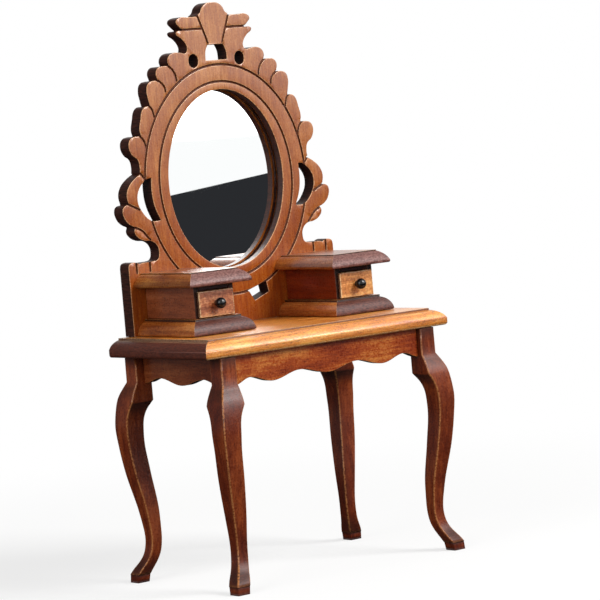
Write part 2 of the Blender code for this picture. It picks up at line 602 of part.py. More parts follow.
def build_drawer(workshop: Workshop, side: str, out_x: int) -> None:
    """One drawer on the empty that slides it: front, two sides, back, bottom and knob."""
    centre = out_x * CABINET_X
    front_half = CARCASE_HALF - DRAWER_LAP
    front_back_y = CARCASE_FRONT_Y - GLUE_GAP
    face_y = front_back_y - DRAWER_FRONT_THICKNESS
    front_low = CARCASE_Z + DRAWER_FRONT_LIFT
    front_high = RAIL_Z - GLUE_GAP
    knob_place = Vector((centre, face_y, (front_low + front_high) / 2))
    slide = workshop.empty(f"{side}_drawer_slide", knob_place, workshop.root)

    box_half = BAY_HALF - SLIDE_GAP
    box_front = front_back_y + GLUE_GAP
    box_back = CABINET_BACK_Y - CARCASE_BACK - DRAWER_BACK_ROOM
    box_low = CARCASE_Z + SLIDE_GAP
    box_high = RAIL_Z - DRAWER_HEADROOM
    inner_half = box_half - DRAWER_WALL
    between = inner_half - GLUE_GAP
    floor_high = box_low + DRAWER_BOTTOM
    boxes = {
        "front": ((-front_half, face_y, front_low), (front_half, front_back_y, front_high)),
        "left_side": ((-box_half, box_front, box_low), (-inner_half, box_back, box_high)),
        "right_side": ((inner_half, box_front, box_low), (box_half, box_back, box_high)),
        "bottom": ((-between, box_front, box_low), (between, box_back, floor_high)),
        "back": ((-between, box_back - DRAWER_WALL, floor_high + GLUE_GAP), (between, box_back, box_high)),
    }
    made = {}
    for name, (low, high) in boxes.items():
        shift = Vector((centre, 0.0, 0.0))
        wall, place = block(Vector(low) + shift, Vector(high) + shift)
        finish = workshop.honey if name == "front" else workshop.bare
        made[name] = workshop.piece(f"{side}_drawer_{name}", wall, finish, place, slide)

    hole = bmesh.new()
    radius = KNOB_SPIGOT_DIAMETER / 2 + GLUE_GAP
    depth = 4 * DRAWER_FRONT_THICKNESS
    bmesh.ops.create_cone(
        hole, cap_ends=True, cap_tris=False, segments=HOLE_STEPS, radius1=radius, radius2=radius, depth=depth
    )
    for vert in hole.verts:
        vert.co = (vert.co.x, -vert.co.z, vert.co.y)
    drill = workshop.piece(f"{side}_knob_hole", hole, workshop.black, knob_place, slide)
    workshop.cut(made["front"], drill)
    knob = workshop.piece(f"{side}_drawer_knob", turned(knob_profile()), workshop.black, knob_place, slide)
    knob.data.shade_smooth()


def main() -> None:
    """Builds every piece of the dressing table."""
    clear_scene()
    workshop = Workshop()
    build_table(workshop)
    build_board(workshop)
    for side, out_x in (("left", -1), ("right", 1)):
        build_cabinet(workshop, side, out_x)
        build_drawer(workshop, side, out_x)


main()
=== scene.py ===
"""Looks of a one-twelfth scale dressing table.

Stained and varnished timber with worn arrises, a fretted board with scorched cuts and engraved
lines, a silvered oval mirror and black lacquered knobs, on a pale floor in soft studio light.
Metres, +Z up, the front faces -Y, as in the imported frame.
"""

import logging
import math
from collections.abc import Iterable
from dataclasses import dataclass, replace
from enum import Enum

import bmesh
import bpy
from mathutils import Matrix, Vector


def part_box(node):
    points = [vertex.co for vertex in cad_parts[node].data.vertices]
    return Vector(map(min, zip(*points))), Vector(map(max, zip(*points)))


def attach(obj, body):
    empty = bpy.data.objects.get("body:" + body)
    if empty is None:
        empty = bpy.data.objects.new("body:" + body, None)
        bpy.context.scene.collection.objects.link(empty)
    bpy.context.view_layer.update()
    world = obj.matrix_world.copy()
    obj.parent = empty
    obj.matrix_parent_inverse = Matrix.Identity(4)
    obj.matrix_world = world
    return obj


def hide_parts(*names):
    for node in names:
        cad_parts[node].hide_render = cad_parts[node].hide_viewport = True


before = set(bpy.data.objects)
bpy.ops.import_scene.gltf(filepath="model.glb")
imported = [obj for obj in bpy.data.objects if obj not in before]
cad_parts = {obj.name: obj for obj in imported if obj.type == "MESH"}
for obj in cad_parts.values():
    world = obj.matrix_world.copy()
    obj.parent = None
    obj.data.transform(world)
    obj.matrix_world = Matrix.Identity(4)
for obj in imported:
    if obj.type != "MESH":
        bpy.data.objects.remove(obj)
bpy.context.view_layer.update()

MM = 0.001
WHITE = "#FFFFFF"
BLACK = "#000000"

# Points nearer than this are one
WELD = 1e-6

# The layers that the finishes read: rubbed arrises, faces with painted shade, painted light and wear,
# ends of the grain
WEAR = "wear"
TONE = "tone"
END_GRAIN = "end_grain"

# The layer that Subdivision Surface reads
CREASE = "crease_edge"

# Painted shade: dark on a moulding's upright step, lighter on the lower lips of its sides
STEP_SHADE = -1.0
LIP_SHADE = -0.28

# A noise lies round this value
NOISE_MIDDLE = 0.5

# The colour sockets of a Mix node, which also has float and vector ones of the same names
MIX_FACTOR, MIX_A, MIX_B, MIX_RESULT = 0, 6, 7, 2

# The level ways in which the front and the left faces mirror the camera
FRONT_WAY = (0.614, -0.787)
LEFT_WAY = (-0.614, 0.787)

Point = tuple[float, float]
Triple = tuple[float, float, float]
Path = tuple[Point, ...]

log = logging.getLogger("dressing_table")


class Grain(Enum):
    """The way a piece of timber runs, by the axis of the frame."""

    ALONG_X = 0
    ALONG_Y = 1
    ALONG_Z = 2

    @property
    def across(self) -> int:
        """The level axis across the grain, along which a cutter runs over its ends."""
        return 1 if self is Grain.ALONG_X else 0


class Pattern(Enum):
    """The noises that make up a timber."""

    LINES = "lines"
    FIBRES = "fibres"
    PORES = "pores"
    SPECKLE = "speckle"
    ENDS = "ends"
    CLOUDS = "clouds"


# How far each pattern lifts the varnish, or lets it sink
RELIEF_SHARES = {Pattern.FIBRES: 0.4, Pattern.SPECKLE: 0.8, Pattern.PORES: -0.5}


class Slot(Enum):
    """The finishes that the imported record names."""

    STAINED = "stained_wood"
    HONEY = "honey_wood"
    BOARD = "board_wood"
    BARE = "bare_wood"
    MIRROR = "mirror"
    CARD = "backing_card"
    BLACK = "black_gloss"


class Side(Enum):
    """The two halves of the table, by the sign of X."""

    LEFT = -1
    RIGHT = 1

    @property
    def word(self) -> str:
        """The side's word in piece and node names."""
        return self.name.lower()


def linear(colour: str) -> tuple[float, float, float, float]:
    """Turns an sRGB hex colour to linear RGBA.

    Args:
        colour: Six hex digits after a hash.

    Returns:
        Linear red, green, blue and an alpha of 1.
    """
    # The numbers are those of the sRGB curve
    shares = [int(colour[place : place + 2], 16) / 255 for place in (1, 3, 5)]
    red, green, blue = (s / 12.92 if s <= 0.04045 else ((s + 0.055) / 1.055) ** 2.4 for s in shares)
    return red, green, blue, 1.0


def add(
    tree: bpy.types.NodeTree,
    kind: str,
    inputs: dict[str | int, object] | None = None,
    **settings: object,
) -> bpy.types.Node:
    """Adds one node with its settings, values and links.

    Args:
        tree: The node tree.
        kind: The node's type name.
        inputs: Each input's name or number, with a value or an output socket to link.
        settings: The node's own properties.

    Returns:
        The new node.
    """
    node = tree.nodes.new(kind)
    for name, value in settings.items():
        setattr(node, name, value)
    for key, value in (inputs or {}).items():
        if isinstance(value, bpy.types.NodeSocket):
            tree.links.new(value, node.inputs[key])
        else:
            node.inputs[key].default_value = value
    return node


def new_material(name: str) -> tuple[bpy.types.Material, bpy.types.NodeTree, bpy.types.Node]:
    """Starts a node material.

    Args:
        name: The material's name.

    Returns:
        The material, its node tree and its Principled shader.
    """
    material = bpy.data.materials.new(name)
    material.use_nodes = True
    return material, material.node_tree, material.node_tree.nodes["Principled BSDF"]


@dataclass(frozen=True)
class Timber:
    """Stained hardwood under brushed varnish.

    Long grain shows drawn-out growth lines, fine fibres and short open pores. The ends of the grain
    drink more stain and turn a speckled purple-brown. Sanding leaves the arrises pale. Shade is
    painted dark in the inner corners, and light is painted pale on some lips and steps. Sizes are in
    millimetres across the grain. Fibres and pores are drawn several times coarser than the timber's
    own, so that they show in the render. Each range is the part of a noise over which a mark comes
    in.
    """

    name: str
    dark: str
    mid: str
    light: str
    end_dark: str
    end_light: str
    # The pale colour of rubbed arrises, also painted as light on some lips, steps and cut edges
    worn: str
    tone_stops: Triple = (0.2, 0.5, 0.8)
    # Painted shade: its colour, and how strongly a dark tone takes it
    painted_shade: str = "#220D06"
    painted_shade_share: float = 0.9
    wear: float = 0.9
    wear_least: float = 0.15
    wear_range: Point = (0.36, 0.56)
    roughness: float = 0.32
    roughness_range: Point = (0.3, 0.7)
    roughness_spread: Point = (-0.07, 0.08)
    end_roughness: float = 0.5
    shine: float = 0.2
    coat: float = 0.7
    coat_roughness: float = 0.25
    end_coat: float = 0.5
    # A tint and a thinner coat towards the foot of a height band, in millimetres
    glaze: str = WHITE
    glaze_coat: float = 1.0
    glaze_mm: Point = (0.0, 1.0)
    line_mm: float = 1.3
    line_share: float = 0.8
    fibre_mm: float = 0.32
    fibre_share: float = 0.5
    stretch: float = 13.0
    pore_mm: float = 0.24
    pore_depth: float = 0.45
    pore_range: Point = (0.58, 0.72)
    pore_stretch: float = 5.0
    speckle_mm: float = 0.5
    speckle_share: float = 0.4
    end_mm: float = 0.34
    end_range: Point = (0.34, 0.68)
    end_stretch: float = 5.0
    cloud_mm: float = 11.0
    cloud_share: float = 0.8
    cloud_stretch: float = 1.6
    cloud_shift_mm: float = 0.0
    noise_roughness: float = 0.6
    relief_mm: float = 0.06

    def material(self, grain: Grain) -> bpy.types.Material:
        """The finish with its grain along one axis.

        Args:
            grain: The way the piece's timber runs.

        Returns:
            The material, made on first use.
        """
        name = f"{self.name}_{grain.name.lower()}"
        found = bpy.data.materials.get(name)
        if found:
            return found
        material, tree, shader = new_material(name)
        place = add(tree, "ShaderNodeTexCoord").outputs["Object"]
        patterns = self.patterns(tree, place, grain)
        foot = self.foot_share(tree, place)

        # Growth lines, fibres, speckle and broad clouds of stain pull the colour from dark to light
        weights = {
            Pattern.LINES: self.line_share,
            Pattern.FIBRES: self.fibre_share,
            Pattern.SPECKLE: self.speckle_share,
            Pattern.CLOUDS: self.cloud_share,
        }
        tone = add(tree, "ShaderNodeValToRGB", {"Fac": self.weighed(tree, patterns, weights)})
        dark_stop, mid_stop, light_stop = self.tone_stops
        low, high = tone.color_ramp.elements
        low.position, low.color = dark_stop, linear(self.dark)
        high.position, high.color = light_stop, linear(self.light)
        tone.color_ramp.elements.new(mid_stop).color = linear(self.mid)
        # The colour is tinted towards the foot of the height band
        colours = {MIX_FACTOR: foot, MIX_A: tone.outputs["Color"], MIX_B: linear(self.glaze)}
        tinted = add(tree, "ShaderNodeMix", colours, data_type="RGBA", blend_type="MULTIPLY")
        deepened = tinted.outputs[MIX_RESULT]

        # Open pores hold dark stain
        least, most = self.pore_range
        spread = {"From Min": least, "From Max": most, "To Max": self.pore_depth}
        values = {"Value": patterns[Pattern.PORES], **spread}
        pore = add(tree, "ShaderNodeMapRange", values).outputs["Result"]
        colours = {MIX_FACTOR: pore, MIX_A: deepened, MIX_B: linear(self.end_dark)}
        long_grain = add(tree, "ShaderNodeMix", colours, data_type="RGBA").outputs[MIX_RESULT]

        # Faces across the grain show its dark ends, streaked by the cutter that ran along them
        least, most = self.end_range
        values = {"Value": patterns[Pattern.ENDS], "From Min": least, "From Max": most}
        flecks = add(tree, "ShaderNodeMapRange", values).outputs["Result"]
        colours = {MIX_FACTOR: flecks, MIX_A: linear(self.end_dark), MIX_B: linear(self.end_light)}
        end_grain = add(tree, "ShaderNodeMix", colours, data_type="RGBA").outputs[MIX_RESULT]
        ends = add(tree, "ShaderNodeAttribute", attribute_name=END_GRAIN).outputs["Fac"]
        colours = {MIX_FACTOR: ends, MIX_A: long_grain, MIX_B: end_grain}
        stained = add(tree, "ShaderNodeMix", colours, data_type="RGBA").outputs[MIX_RESULT]

        # Painted shade in the inner corners; arrises sanded pale where the stain didn't stay on, and
        # the same pale colour painted as light on some lips, steps and cut edges
        marks = add(tree, "ShaderNodeAttribute", attribute_name=TONE).outputs["Fac"]
        worn = add(tree, "ShaderNodeAttribute", attribute_name=WEAR).outputs["Fac"]
        values = {0: marks, 1: -self.painted_shade_share}
        shaded = add(tree, "ShaderNodeMath", values, operation="MULTIPLY", use_clamp=True).outputs[0]
        colours = {MIX_FACTOR: shaded, MIX_A: stained, MIX_B: linear(self.painted_shade)}
        shaded_colour = add(tree, "ShaderNodeMix", colours, data_type="RGBA").outputs[MIX_RESULT]
        least, most = self.wear_range
        spread = {"From Min": least, "From Max": most}
        spread |= {"To Min": self.wear_least * self.wear, "To Max": self.wear}
        values = {"Value": patterns[Pattern.SPECKLE], **spread}
        patchy = add(tree, "ShaderNodeMapRange", values).outputs["Result"]
        rubbed = add(tree, "ShaderNodeMath", {0: marks, 1: worn}, operation="MAXIMUM").outputs[0]
        values = {0: rubbed, 1: patchy}
        bare = add(tree, "ShaderNodeMath", values, operation="MULTIPLY", use_clamp=True).outputs[0]
        colours = {MIX_FACTOR: bare, MIX_A: shaded_colour, MIX_B: linear(self.worn)}
        colour = add(tree, "ShaderNodeMix", colours, data_type="RGBA").outputs[MIX_RESULT]

        # The varnish sinks into the pores and follows the fibres
        height = self.weighed(tree, patterns, RELIEF_SHARES)
        relief = {"Strength": 1.0, "Distance": self.relief_mm * MM, "Height": height}
        least, most = self.roughness_range
        smoother, rougher = self.roughness_spread
        spread = {"From Min": least, "From Max": most}
        spread |= {"To Min": self.roughness + smoother, "To Max": self.roughness + rougher}
        values = {"Value": patterns[Pattern.SPECKLE], **spread}
        gloss = add(tree, "ShaderNodeMapRange", values).outputs["Result"]
        values = {0: ends, 1: self.end_roughness - self.roughness, 2: gloss}
        dull = add(tree, "ShaderNodeMath", values, operation="MULTIPLY_ADD").outputs[0]

        # The ends drink part of the varnish, faces with painted shade lose their coat so that they
        # show no highlight, and the coat is thinner towards the tinted foot
        values = {"Value": ends, "To Min": self.coat, "To Max": self.coat * self.end_coat}
        left = add(tree, "ShaderNodeMapRange", values).outputs["Result"]
        clean = add(tree, "ShaderNodeMath", {0: 1.0, 1: shaded}, operation="SUBTRACT").outputs[0]
        varnish = add(tree, "ShaderNodeMath", {0: left, 1: clean}, operation="MULTIPLY").outputs[0]
        values = {"Value": foot, "To Min": 1.0, "To Max": self.glaze_coat}
        thin = add(tree, "ShaderNodeMapRange", values).outputs["Result"]
        varnish = add(tree, "ShaderNodeMath", {0: varnish, 1: thin}, operation="MULTIPLY").outputs[0]
        tree.links.new(varnish, shader.inputs["Coat Weight"])
        tree.links.new(colour, shader.inputs["Base Color"])
        tree.links.new(dull, shader.inputs["Roughness"])
        tree.links.new(add(tree, "ShaderNodeBump", relief).outputs["Normal"], shader.inputs["Normal"])
        shader.inputs["Specular IOR Level"].default_value = self.shine
        shader.inputs["Coat Roughness"].default_value = self.coat_roughness
        return material

    def foot_share(
        self, tree: bpy.types.NodeTree, place: bpy.types.NodeSocket
    ) -> bpy.types.NodeSocket:
        """How near a point is to the foot of the tinted height band.

        Args:
            tree: The node tree.
            place: Object coordinates, in metres.

        Returns:
            The output of a share, 0 above the band and 1 at its foot.
        """
        low, high = (height * MM for height in self.glaze_mm)
        rise = add(tree, "ShaderNodeSeparateXYZ", {"Vector": place}).outputs["Z"]
        spread = {"Value": rise, "From Min": high, "From Max": low}
        return add(tree, "ShaderNodeMapRange", spread).outputs["Result"]

    def patterns(
        self, tree: bpy.types.NodeTree, place: bpy.types.NodeSocket, grain: Grain
    ) -> dict[Pattern, bpy.types.NodeSocket]:
        """The noises that make up the timber, each at its own size.

        Args:
            tree: The node tree.
            place: Object coordinates, in metres.
            grain: The way the timber runs.

        Returns:
            Each pattern's output.
        """
        # Each pattern's size, how far it is drawn out along its way, and its levels of detail
        sizes = {
            Pattern.LINES: (self.line_mm, self.stretch, 4.0),
            Pattern.FIBRES: (self.fibre_mm, self.stretch, 2.0),
            Pattern.PORES: (self.pore_mm, self.pore_stretch, 1.0),
            Pattern.SPECKLE: (self.speckle_mm, 1.0, 2.0),
            Pattern.ENDS: (self.end_mm, self.end_stretch, 2.0),
            Pattern.CLOUDS: (self.cloud_mm, self.cloud_stretch, 2.0),
        }
        made = {}
        for pattern, (size_mm, stretch, detail) in sizes.items():
            scale = [1 / (size_mm * MM)] * 3
            scale[grain.across if pattern is Pattern.ENDS else grain.value] /= stretch
            shift = self.cloud_shift_mm / size_mm if pattern is Pattern.CLOUDS else 0.0
            values = {"Vector": place, "Location": (shift,) * 3, "Scale": scale}
            space = add(tree, "ShaderNodeMapping", values).outputs["Vector"]
            values = {"Vector": space, "Scale": 1.0, "Detail": detail}
            values["Roughness"] = self.noise_roughness
            made[pattern] = add(tree, "ShaderNodeTexNoise", values).outputs["Fac"]
        return made

    @staticmethod
    def weighed(
        tree: bpy.types.NodeTree,
        patterns: dict[Pattern, bpy.types.NodeSocket],
        weights: dict[Pattern, float],
    ) -> bpy.types.NodeSocket:
        """Adds patterns up round the middle of a noise.

        Args:
            tree: The node tree.
            patterns: Each pattern's output.
            weights: Each pattern's share.

        Returns:
            The sum's output.
        """
        excess = sum(weights.values()) * NOISE_MIDDLE
        total: bpy.types.NodeSocket | float = NOISE_MIDDLE - excess
        for pattern, weight in weights.items():
            values = {0: patterns[pattern], 1: weight, 2: total}
            total = add(tree, "ShaderNodeMath", values, operation="MULTIPLY_ADD").outputs[0]
        return total


@dataclass(frozen=True)
class Scorch:
    """Timber charred by the beam that cut it: dark, with streaks through the board's thickness.

    The streaks are drawn coarser than the beam's, so that they show in the render.
    """

    name: str
    dark: str
    light: str
    roughness: float
    shine: float
    stops: Point = (0.3, 0.72)
    streak_mm: float = 0.3
    stretch: float = 9.0
    detail: float = 3.0
    relief_mm: float = 0.04

    def material(self) -> bpy.types.Material:
        """The charred finish, with its streaks along Y.

        Returns:
            The material.
        """
        material, tree, shader = new_material(self.name)
        place = add(tree, "ShaderNodeTexCoord").outputs["Object"]
        across = 1 / (self.streak_mm * MM)
        values = {"Vector": place, "Scale": (across, across / self.stretch, across)}
        space = add(tree, "ShaderNodeMapping", values).outputs["Vector"]
        values = {"Vector": space, "Scale": 1.0, "Detail": self.detail}
        streaks = add(tree, "ShaderNodeTexNoise", values).outputs["Fac"]
        tone = add(tree, "ShaderNodeValToRGB", {"Fac": streaks})
        dark_stop, light_stop = self.stops
        low, high = tone.color_ramp.elements
        low.position, low.color = dark_stop, linear(self.dark)
        high.position, high.color = light_stop, linear(self.light)
        relief = {"Strength": 1.0, "Distance": self.relief_mm * MM, "Height": streaks}
        tree.links.new(tone.outputs["Color"], shader.inputs["Base Color"])
        tree.links.new(add(tree, "ShaderNodeBump", relief).outputs["Normal"], shader.inputs["Normal"])
        shader.inputs["Roughness"].default_value = self.roughness
        shader.inputs["Specular IOR Level"].default_value = self.shine
        return material


@dataclass(frozen=True)
class Silvering:
    """Silvered glass: a cool mirror with faint smears that soften it here and there."""

    name: str = "silvered_glass"
    tint: str = "#FBFDFD"
    clean: float = 0.008
    smeared: float = 0.016
    smear_mm: float = 9.0
    smear_range: Point = (0.5, 0.8)
    detail: float = 3.0

    def material(self) -> bpy.types.Material:
        """The mirror finish.

        Returns:
            The material.
        """
        material, tree, shader = new_material(self.name)
        place = add(tree, "ShaderNodeTexCoord").outputs["Object"]
        values = {"Vector": place, "Scale": 1 / (self.smear_mm * MM), "Detail": self.detail}
        smears = add(tree, "ShaderNodeTexNoise", values).outputs["Fac"]
        least, most = self.smear_range
        spread = {"From Min": least, "From Max": most, "To Min": self.clean, "To Max": self.smeared}
        gloss = add(tree, "ShaderNodeMapRange", {"Value": smears, **spread})
        tree.links.new(gloss.outputs["Result"], shader.inputs["Roughness"])
        shader.inputs["Base Color"].default_value = linear(self.tint)
        shader.inputs["Metallic"].default_value = 1.0
        return material


@dataclass(frozen=True)
class Lacquer:
    """Black lacquer on a turned bead: deep gloss with a little dust and fine wear.

    The dust is drawn coarser than it is, so that it shows in the render.
    """

    name: str = "black_lacquer"
    colour: str = "#08080A"
    dusty: str = "#19191C"
    dust_mm: float = 0.35
    dust_stops: Point = (0.45, 0.85)
    dull_range: Point = (0.4, 0.8)
    detail: float = 2.0
    roughness: float = 0.1
    dusty_roughness: float = 0.2
    shine: float = 0.35

    def material(self) -> bpy.types.Material:
        """The lacquer finish.

        Returns:
            The material.
        """
        material, tree, shader = new_material(self.name)
        place = add(tree, "ShaderNodeTexCoord").outputs["Object"]
        values = {"Vector": place, "Scale": 1 / (self.dust_mm * MM), "Detail": self.detail}
        dust = add(tree, "ShaderNodeTexNoise", values).outputs["Fac"]
        tone = add(tree, "ShaderNodeValToRGB", {"Fac": dust})
        clean_stop, dusty_stop = self.dust_stops
        low, high = tone.color_ramp.elements
        low.position, low.color = clean_stop, linear(self.colour)
        high.position, high.color = dusty_stop, linear(self.dusty)
        least, most = self.dull_range
        spread = {"From Min": least, "From Max": most}
        spread |= {"To Min": self.roughness, "To Max": self.dusty_roughness}
        gloss = add(tree, "ShaderNodeMapRange", {"Value": dust, **spread})
        tree.links.new(tone.outputs["Color"], shader.inputs["Base Color"])
        tree.links.new(gloss.outputs["Result"], shader.inputs["Roughness"])
        shader.inputs["Specular IOR Level"].default_value = self.shine
        return material


@dataclass(frozen=True)
class Card:
    """Brown pulp card: dull, with short pale and dark fibres pressed in.

    The fibres are drawn coarser than pulp's, so that they show in the render.
    """

    name: str = "pulp_card"
    dark: str = "#5B4634"
    light: str = "#92765A"
    stops: Point = (0.3, 0.7)
    fibre_mm: float = 0.5
    detail: float = 6.0
    distortion: float = 1.5
    roughness: float = 0.85
    relief_mm: float = 0.03

    def material(self) -> bpy.types.Material:
        """The card finish.

        Returns:
            The material.
        """
        material, tree, shader = new_material(self.name)
        place = add(tree, "ShaderNodeTexCoord").outputs["Object"]
        values = {"Vector": place, "Scale": 1 / (self.fibre_mm * MM)}
        values |= {"Detail": self.detail, "Distortion": self.distortion}
        fibres = add(tree, "ShaderNodeTexNoise", values).outputs["Fac"]
        tone = add(tree, "ShaderNodeValToRGB", {"Fac": fibres})
        dark_stop, light_stop = self.stops
        low, high = tone.color_ramp.elements
        low.position, low.color = dark_stop, linear(self.dark)
        high.position, high.color = light_stop, linear(self.light)
        relief = {"Strength": 1.0, "Distance": self.relief_mm * MM, "Height": fibres}
        tree.links.new(tone.outputs["Color"], shader.inputs["Base Color"])
        tree.links.new(add(tree, "ShaderNodeBump", relief).outputs["Normal"], shader.inputs["Normal"])
        shader.inputs["Roughness"].default_value = self.roughness
        return material


# Beech stained red-brown: deep, with darker and redder clouds where the varnish is thick
LEG_TIMBER = Timber(
    "red_brown_beech", dark="#4A1406", mid="#6C270C", light="#94441C", shine=0.16,
    end_dark="#2A100A", end_light="#4C241A", worn="#BC7A46", cloud_share=1.1, coat=0.55,
    end_coat=0.1, end_roughness=0.6,
)
# The same beech with a thinner stain, streaked from deep red to golden
APRON_TIMBER = replace(
    LEG_TIMBER, name="warm_brown_beech", dark="#742406", mid="#A04410", light="#CC7C34",
    line_share=0.9, speckle_share=0.6, worn="#C89058", end_coat=0.3, cloud_shift_mm=-15.0,
)
# Painted shade: the side aprons are a darker copy of the beech, for their faces in shade
SHADED_SIDE_APRON_TIMBER = replace(
    LEG_TIMBER, name="shaded_brown_apron_beech", dark="#60260E", mid="#7A3A1A", light="#92502A", end_coat=0.3
)
# The cabinets' caps: golden brown along the grain, bumpy purple-brown where its ends drank the stain
CAP_TIMBER = replace(
    LEG_TIMBER, name="brown_beech", dark="#662A0B", mid="#8C4919", light="#B27030", cloud_share=0.9,
    end_dark="#522A24", end_light="#8C5E56", worn="#D2A46C", end_coat=0.45, end_roughness=0.45,
    end_mm=0.42, end_stretch=1.8, speckle_share=0.6,
)
# Their bases: more golden along the grain, and darker at its ends
BASE_TIMBER = replace(
    CAP_TIMBER, name="golden_brown_beech", dark="#7C3810", mid="#A85C24", light="#CC8444",
    end_dark="#361612", end_light="#683C32", end_coat=0.3,
)
# The cabinets' sides have front edges painted nearly black: dark end grain with painted shade beside
# the proud drawer fronts. Those towards the middle are a darker copy, painted shade near the board
OUTER_SIDE_TIMBER = replace(
    CAP_TIMBER, name="brown_side_beech", dark="#6C341A", mid="#884626", light="#A05C38",
    end_dark="#1C0B08", end_light="#3A201A", worn="#6A4028", speckle_share=0.4, end_coat=0.2,
)
SHADED_INNER_SIDE_TIMBER = replace(
    OUTER_SIDE_TIMBER, name="shaded_red_side_beech", dark="#4C1404", mid="#621C06", light="#7A2E0E"
)
# Painted shade: the rails over the drawers are nearly black and dull, as in the shade of the caps
SHADED_RAIL_TIMBER = replace(
    OUTER_SIDE_TIMBER, name="shaded_rail_beech", dark="#240D0A", mid="#3A1612", light="#4E241C",
    coat=0.2, shine=0.1,
)
# The top's beech: honey varnish that glows along the front, with open brown pores
TOP_TIMBER = Timber(
    "honey_beech", dark="#B05A12", mid="#E48A2A", light="#FAB654", shine=0.28, coat=0.74,
    end_dark="#421C12", end_light="#66301F", worn="#FBDCA6", painted_shade="#5A2408", line_share=1.0,
    pore_depth=0.6, speckle_share=0.8, end_coat=0.25, end_stretch=3.0, coat_roughness=0.32,
    relief_mm=0.12,
)
# Fine-grained fretwork board with a thin orange-brown stain under a glossier coat, tinted more golden
# and with less coat towards its foot
BOARD_TIMBER = Timber(
    "fretwork_beech", dark="#843E14", mid="#A05C27", light="#BC7C44",
    end_dark="#6A3C28", end_light="#8A5A40", worn="#DCA878", glaze="#F2D07E", glaze_coat=0.4,
    glaze_mm=(80.0, 142.0), coat=0.82, line_mm=0.9, line_share=0.6, relief_mm=0.04,
    pore_depth=0.35, cloud_mm=7.0,
)
# Drawer fronts, one browner and one more golden, mottled and edged where the stain was wiped off
LEFT_DRAWER_TIMBER = replace(
    TOP_TIMBER, name="brown_drawer_beech", dark="#743A20", mid="#A05C38", light="#D09060",
    pore_depth=0.35, speckle_mm=0.7, speckle_share=0.9, coat=0.7, shine=0.2,
)
RIGHT_DRAWER_TIMBER = replace(
    LEFT_DRAWER_TIMBER, name="golden_drawer_beech", dark="#9C5A26", mid="#CC8444", light="#F0BA70",
)
# Bare birch inside the cabinets: pale, dry and fuzzy
BARE_TIMBER = Timber(
    "bare_birch", dark="#AE8858", mid="#C8A678", light="#DCC29A",
    end_dark="#A07C50", end_light="#BC9A6C", worn="#E2CDA8", painted_shade="#8A6A44",
    roughness=0.68, shine=0.3, coat=0.0, pore_depth=0.25,
)
# Charred cuts through the board, nearly black, and the redder brown of the shallow engraved lines
CUT_EDGE = Scorch("scorched_edge", dark="#1C0D0A", light="#4A261C", roughness=0.45, shine=0.18)
ENGRAVING = Scorch("scorched_groove", dark="#3C1A0C", light="#6E381C", roughness=0.6, shine=0.15)


def node_copy(node: str, flat_angle: float = math.radians(0.3)) -> bmesh.types.BMesh:
    """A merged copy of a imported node's mesh, with its flat faces whole again.

    Args:
        node: The node's name.
        flat_angle: Faces that meet at less than this become one.

    Returns:
        The copy.
    """
    bm = bmesh.new()
    bm.from_mesh(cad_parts[node].data)
    bmesh.ops.remove_doubles(bm, verts=bm.verts, dist=WELD)
    bmesh.ops.dissolve_limit(bm, angle_limit=flat_angle, verts=bm.verts, edges=bm.edges)
    return bm


def layer(
    parts: bmesh.types.BMVertSeq | bmesh.types.BMEdgeSeq | bmesh.types.BMFaceSeq, name: str
) -> bmesh.types.BMLayerItem:
    """A layer of numbers on a mesh's points, edges or faces, made on first use."""
    return parts.layers.float.get(name) or parts.layers.float.new(name)


def mark_ends(
    bm: bmesh.types.BMesh,
    grain: Grain,
    level: float = 0.995,
    slope: float = 0.25,
    fade: float = 0.3,
) -> None:
    """Marks the ends of the grain: a whole moulded end, or an upright piece's slopes by degrees.

    Args:
        bm: The mesh, which is changed.
        grain: The way the timber runs.
        level: How squarely a face looks up or down to count as level, and so not as an end.
        slope: How far an upright piece's surface looks up or down where its ends begin to show.
        fade: How much further it looks where they show in full.
    """
    bm.normal_update()
    if grain is Grain.ALONG_Z:
        ends = layer(bm.verts, END_GRAIN)
        for vert in bm.verts:
            vert[ends] = min(max((abs(vert.normal.z) - slope) / fade, 0.0), 1.0)
        return
    ends = layer(bm.faces, END_GRAIN)
    for face in bm.faces:
        x, y, z = (abs(share) for share in face.normal)
        is_end = x > y if grain is Grain.ALONG_X else y > x
        face[ends] = float(is_end and z < level)


def round_edges(
    bm: bmesh.types.BMesh,
    edges: list[bmesh.types.BMEdge],
    width: float,
    segments: int,
    border: float = 0.0,
    shoulder: float = 0.75,
) -> None:
    """Rounds edges and marks the rounding as rubbed pale, which fades towards its borders.

    Args:
        bm: The mesh, which is changed.
        edges: The edges to round.
        width: How far the rounding reaches from each edge.
        segments: Faces across the rounding.
        border: How rubbed its borders are, from where the wear fades out over the next faces.
        shoulder: How rubbed the next points in from its borders are.
    """
    wear = layer(bm.verts, WEAR)
    made = bmesh.ops.bevel(
        bm, geom=edges, offset=width, offset_type="OFFSET", affect="EDGES", segments=segments,
        profile=0.5, material=-1, clamp_overlap=True,
    )
    rounding = set(made["faces"])
    inner = {vert for face in rounding for vert in face.verts}
    ring = {vert for vert in inner if any(face not in rounding for face in vert.link_faces)}
    for share in (border, shoulder):
        for vert in ring:
            vert[wear] = share
        inner -= ring
        ring = {
            vert for vert in inner if any(edge.other_vert(vert) in ring for edge in vert.link_edges)
        }
    for vert in inner:
        vert[wear] = 1.0


def soften(
    bm: bmesh.types.BMesh,
    width: float,
    segments: int = 4,
    least_angle: float = math.radians(32),
) -> None:
    """Rounds the outward arrises and rubs them pale.

    Args:
        bm: The mesh, which is changed.
        width: How far the rounding reaches from each edge.
        segments: Faces across the rounding.
        least_angle: Edges that turn less than this stay as they are.
    """
    edges = [
        edge
        for edge in bm.edges
        if edge.is_manifold
        and edge.is_convex
        and edge.calc_face_angle() > least_angle
        and edge.calc_length() > 2 * width
    ]
    round_edges(bm, edges, width, segments)


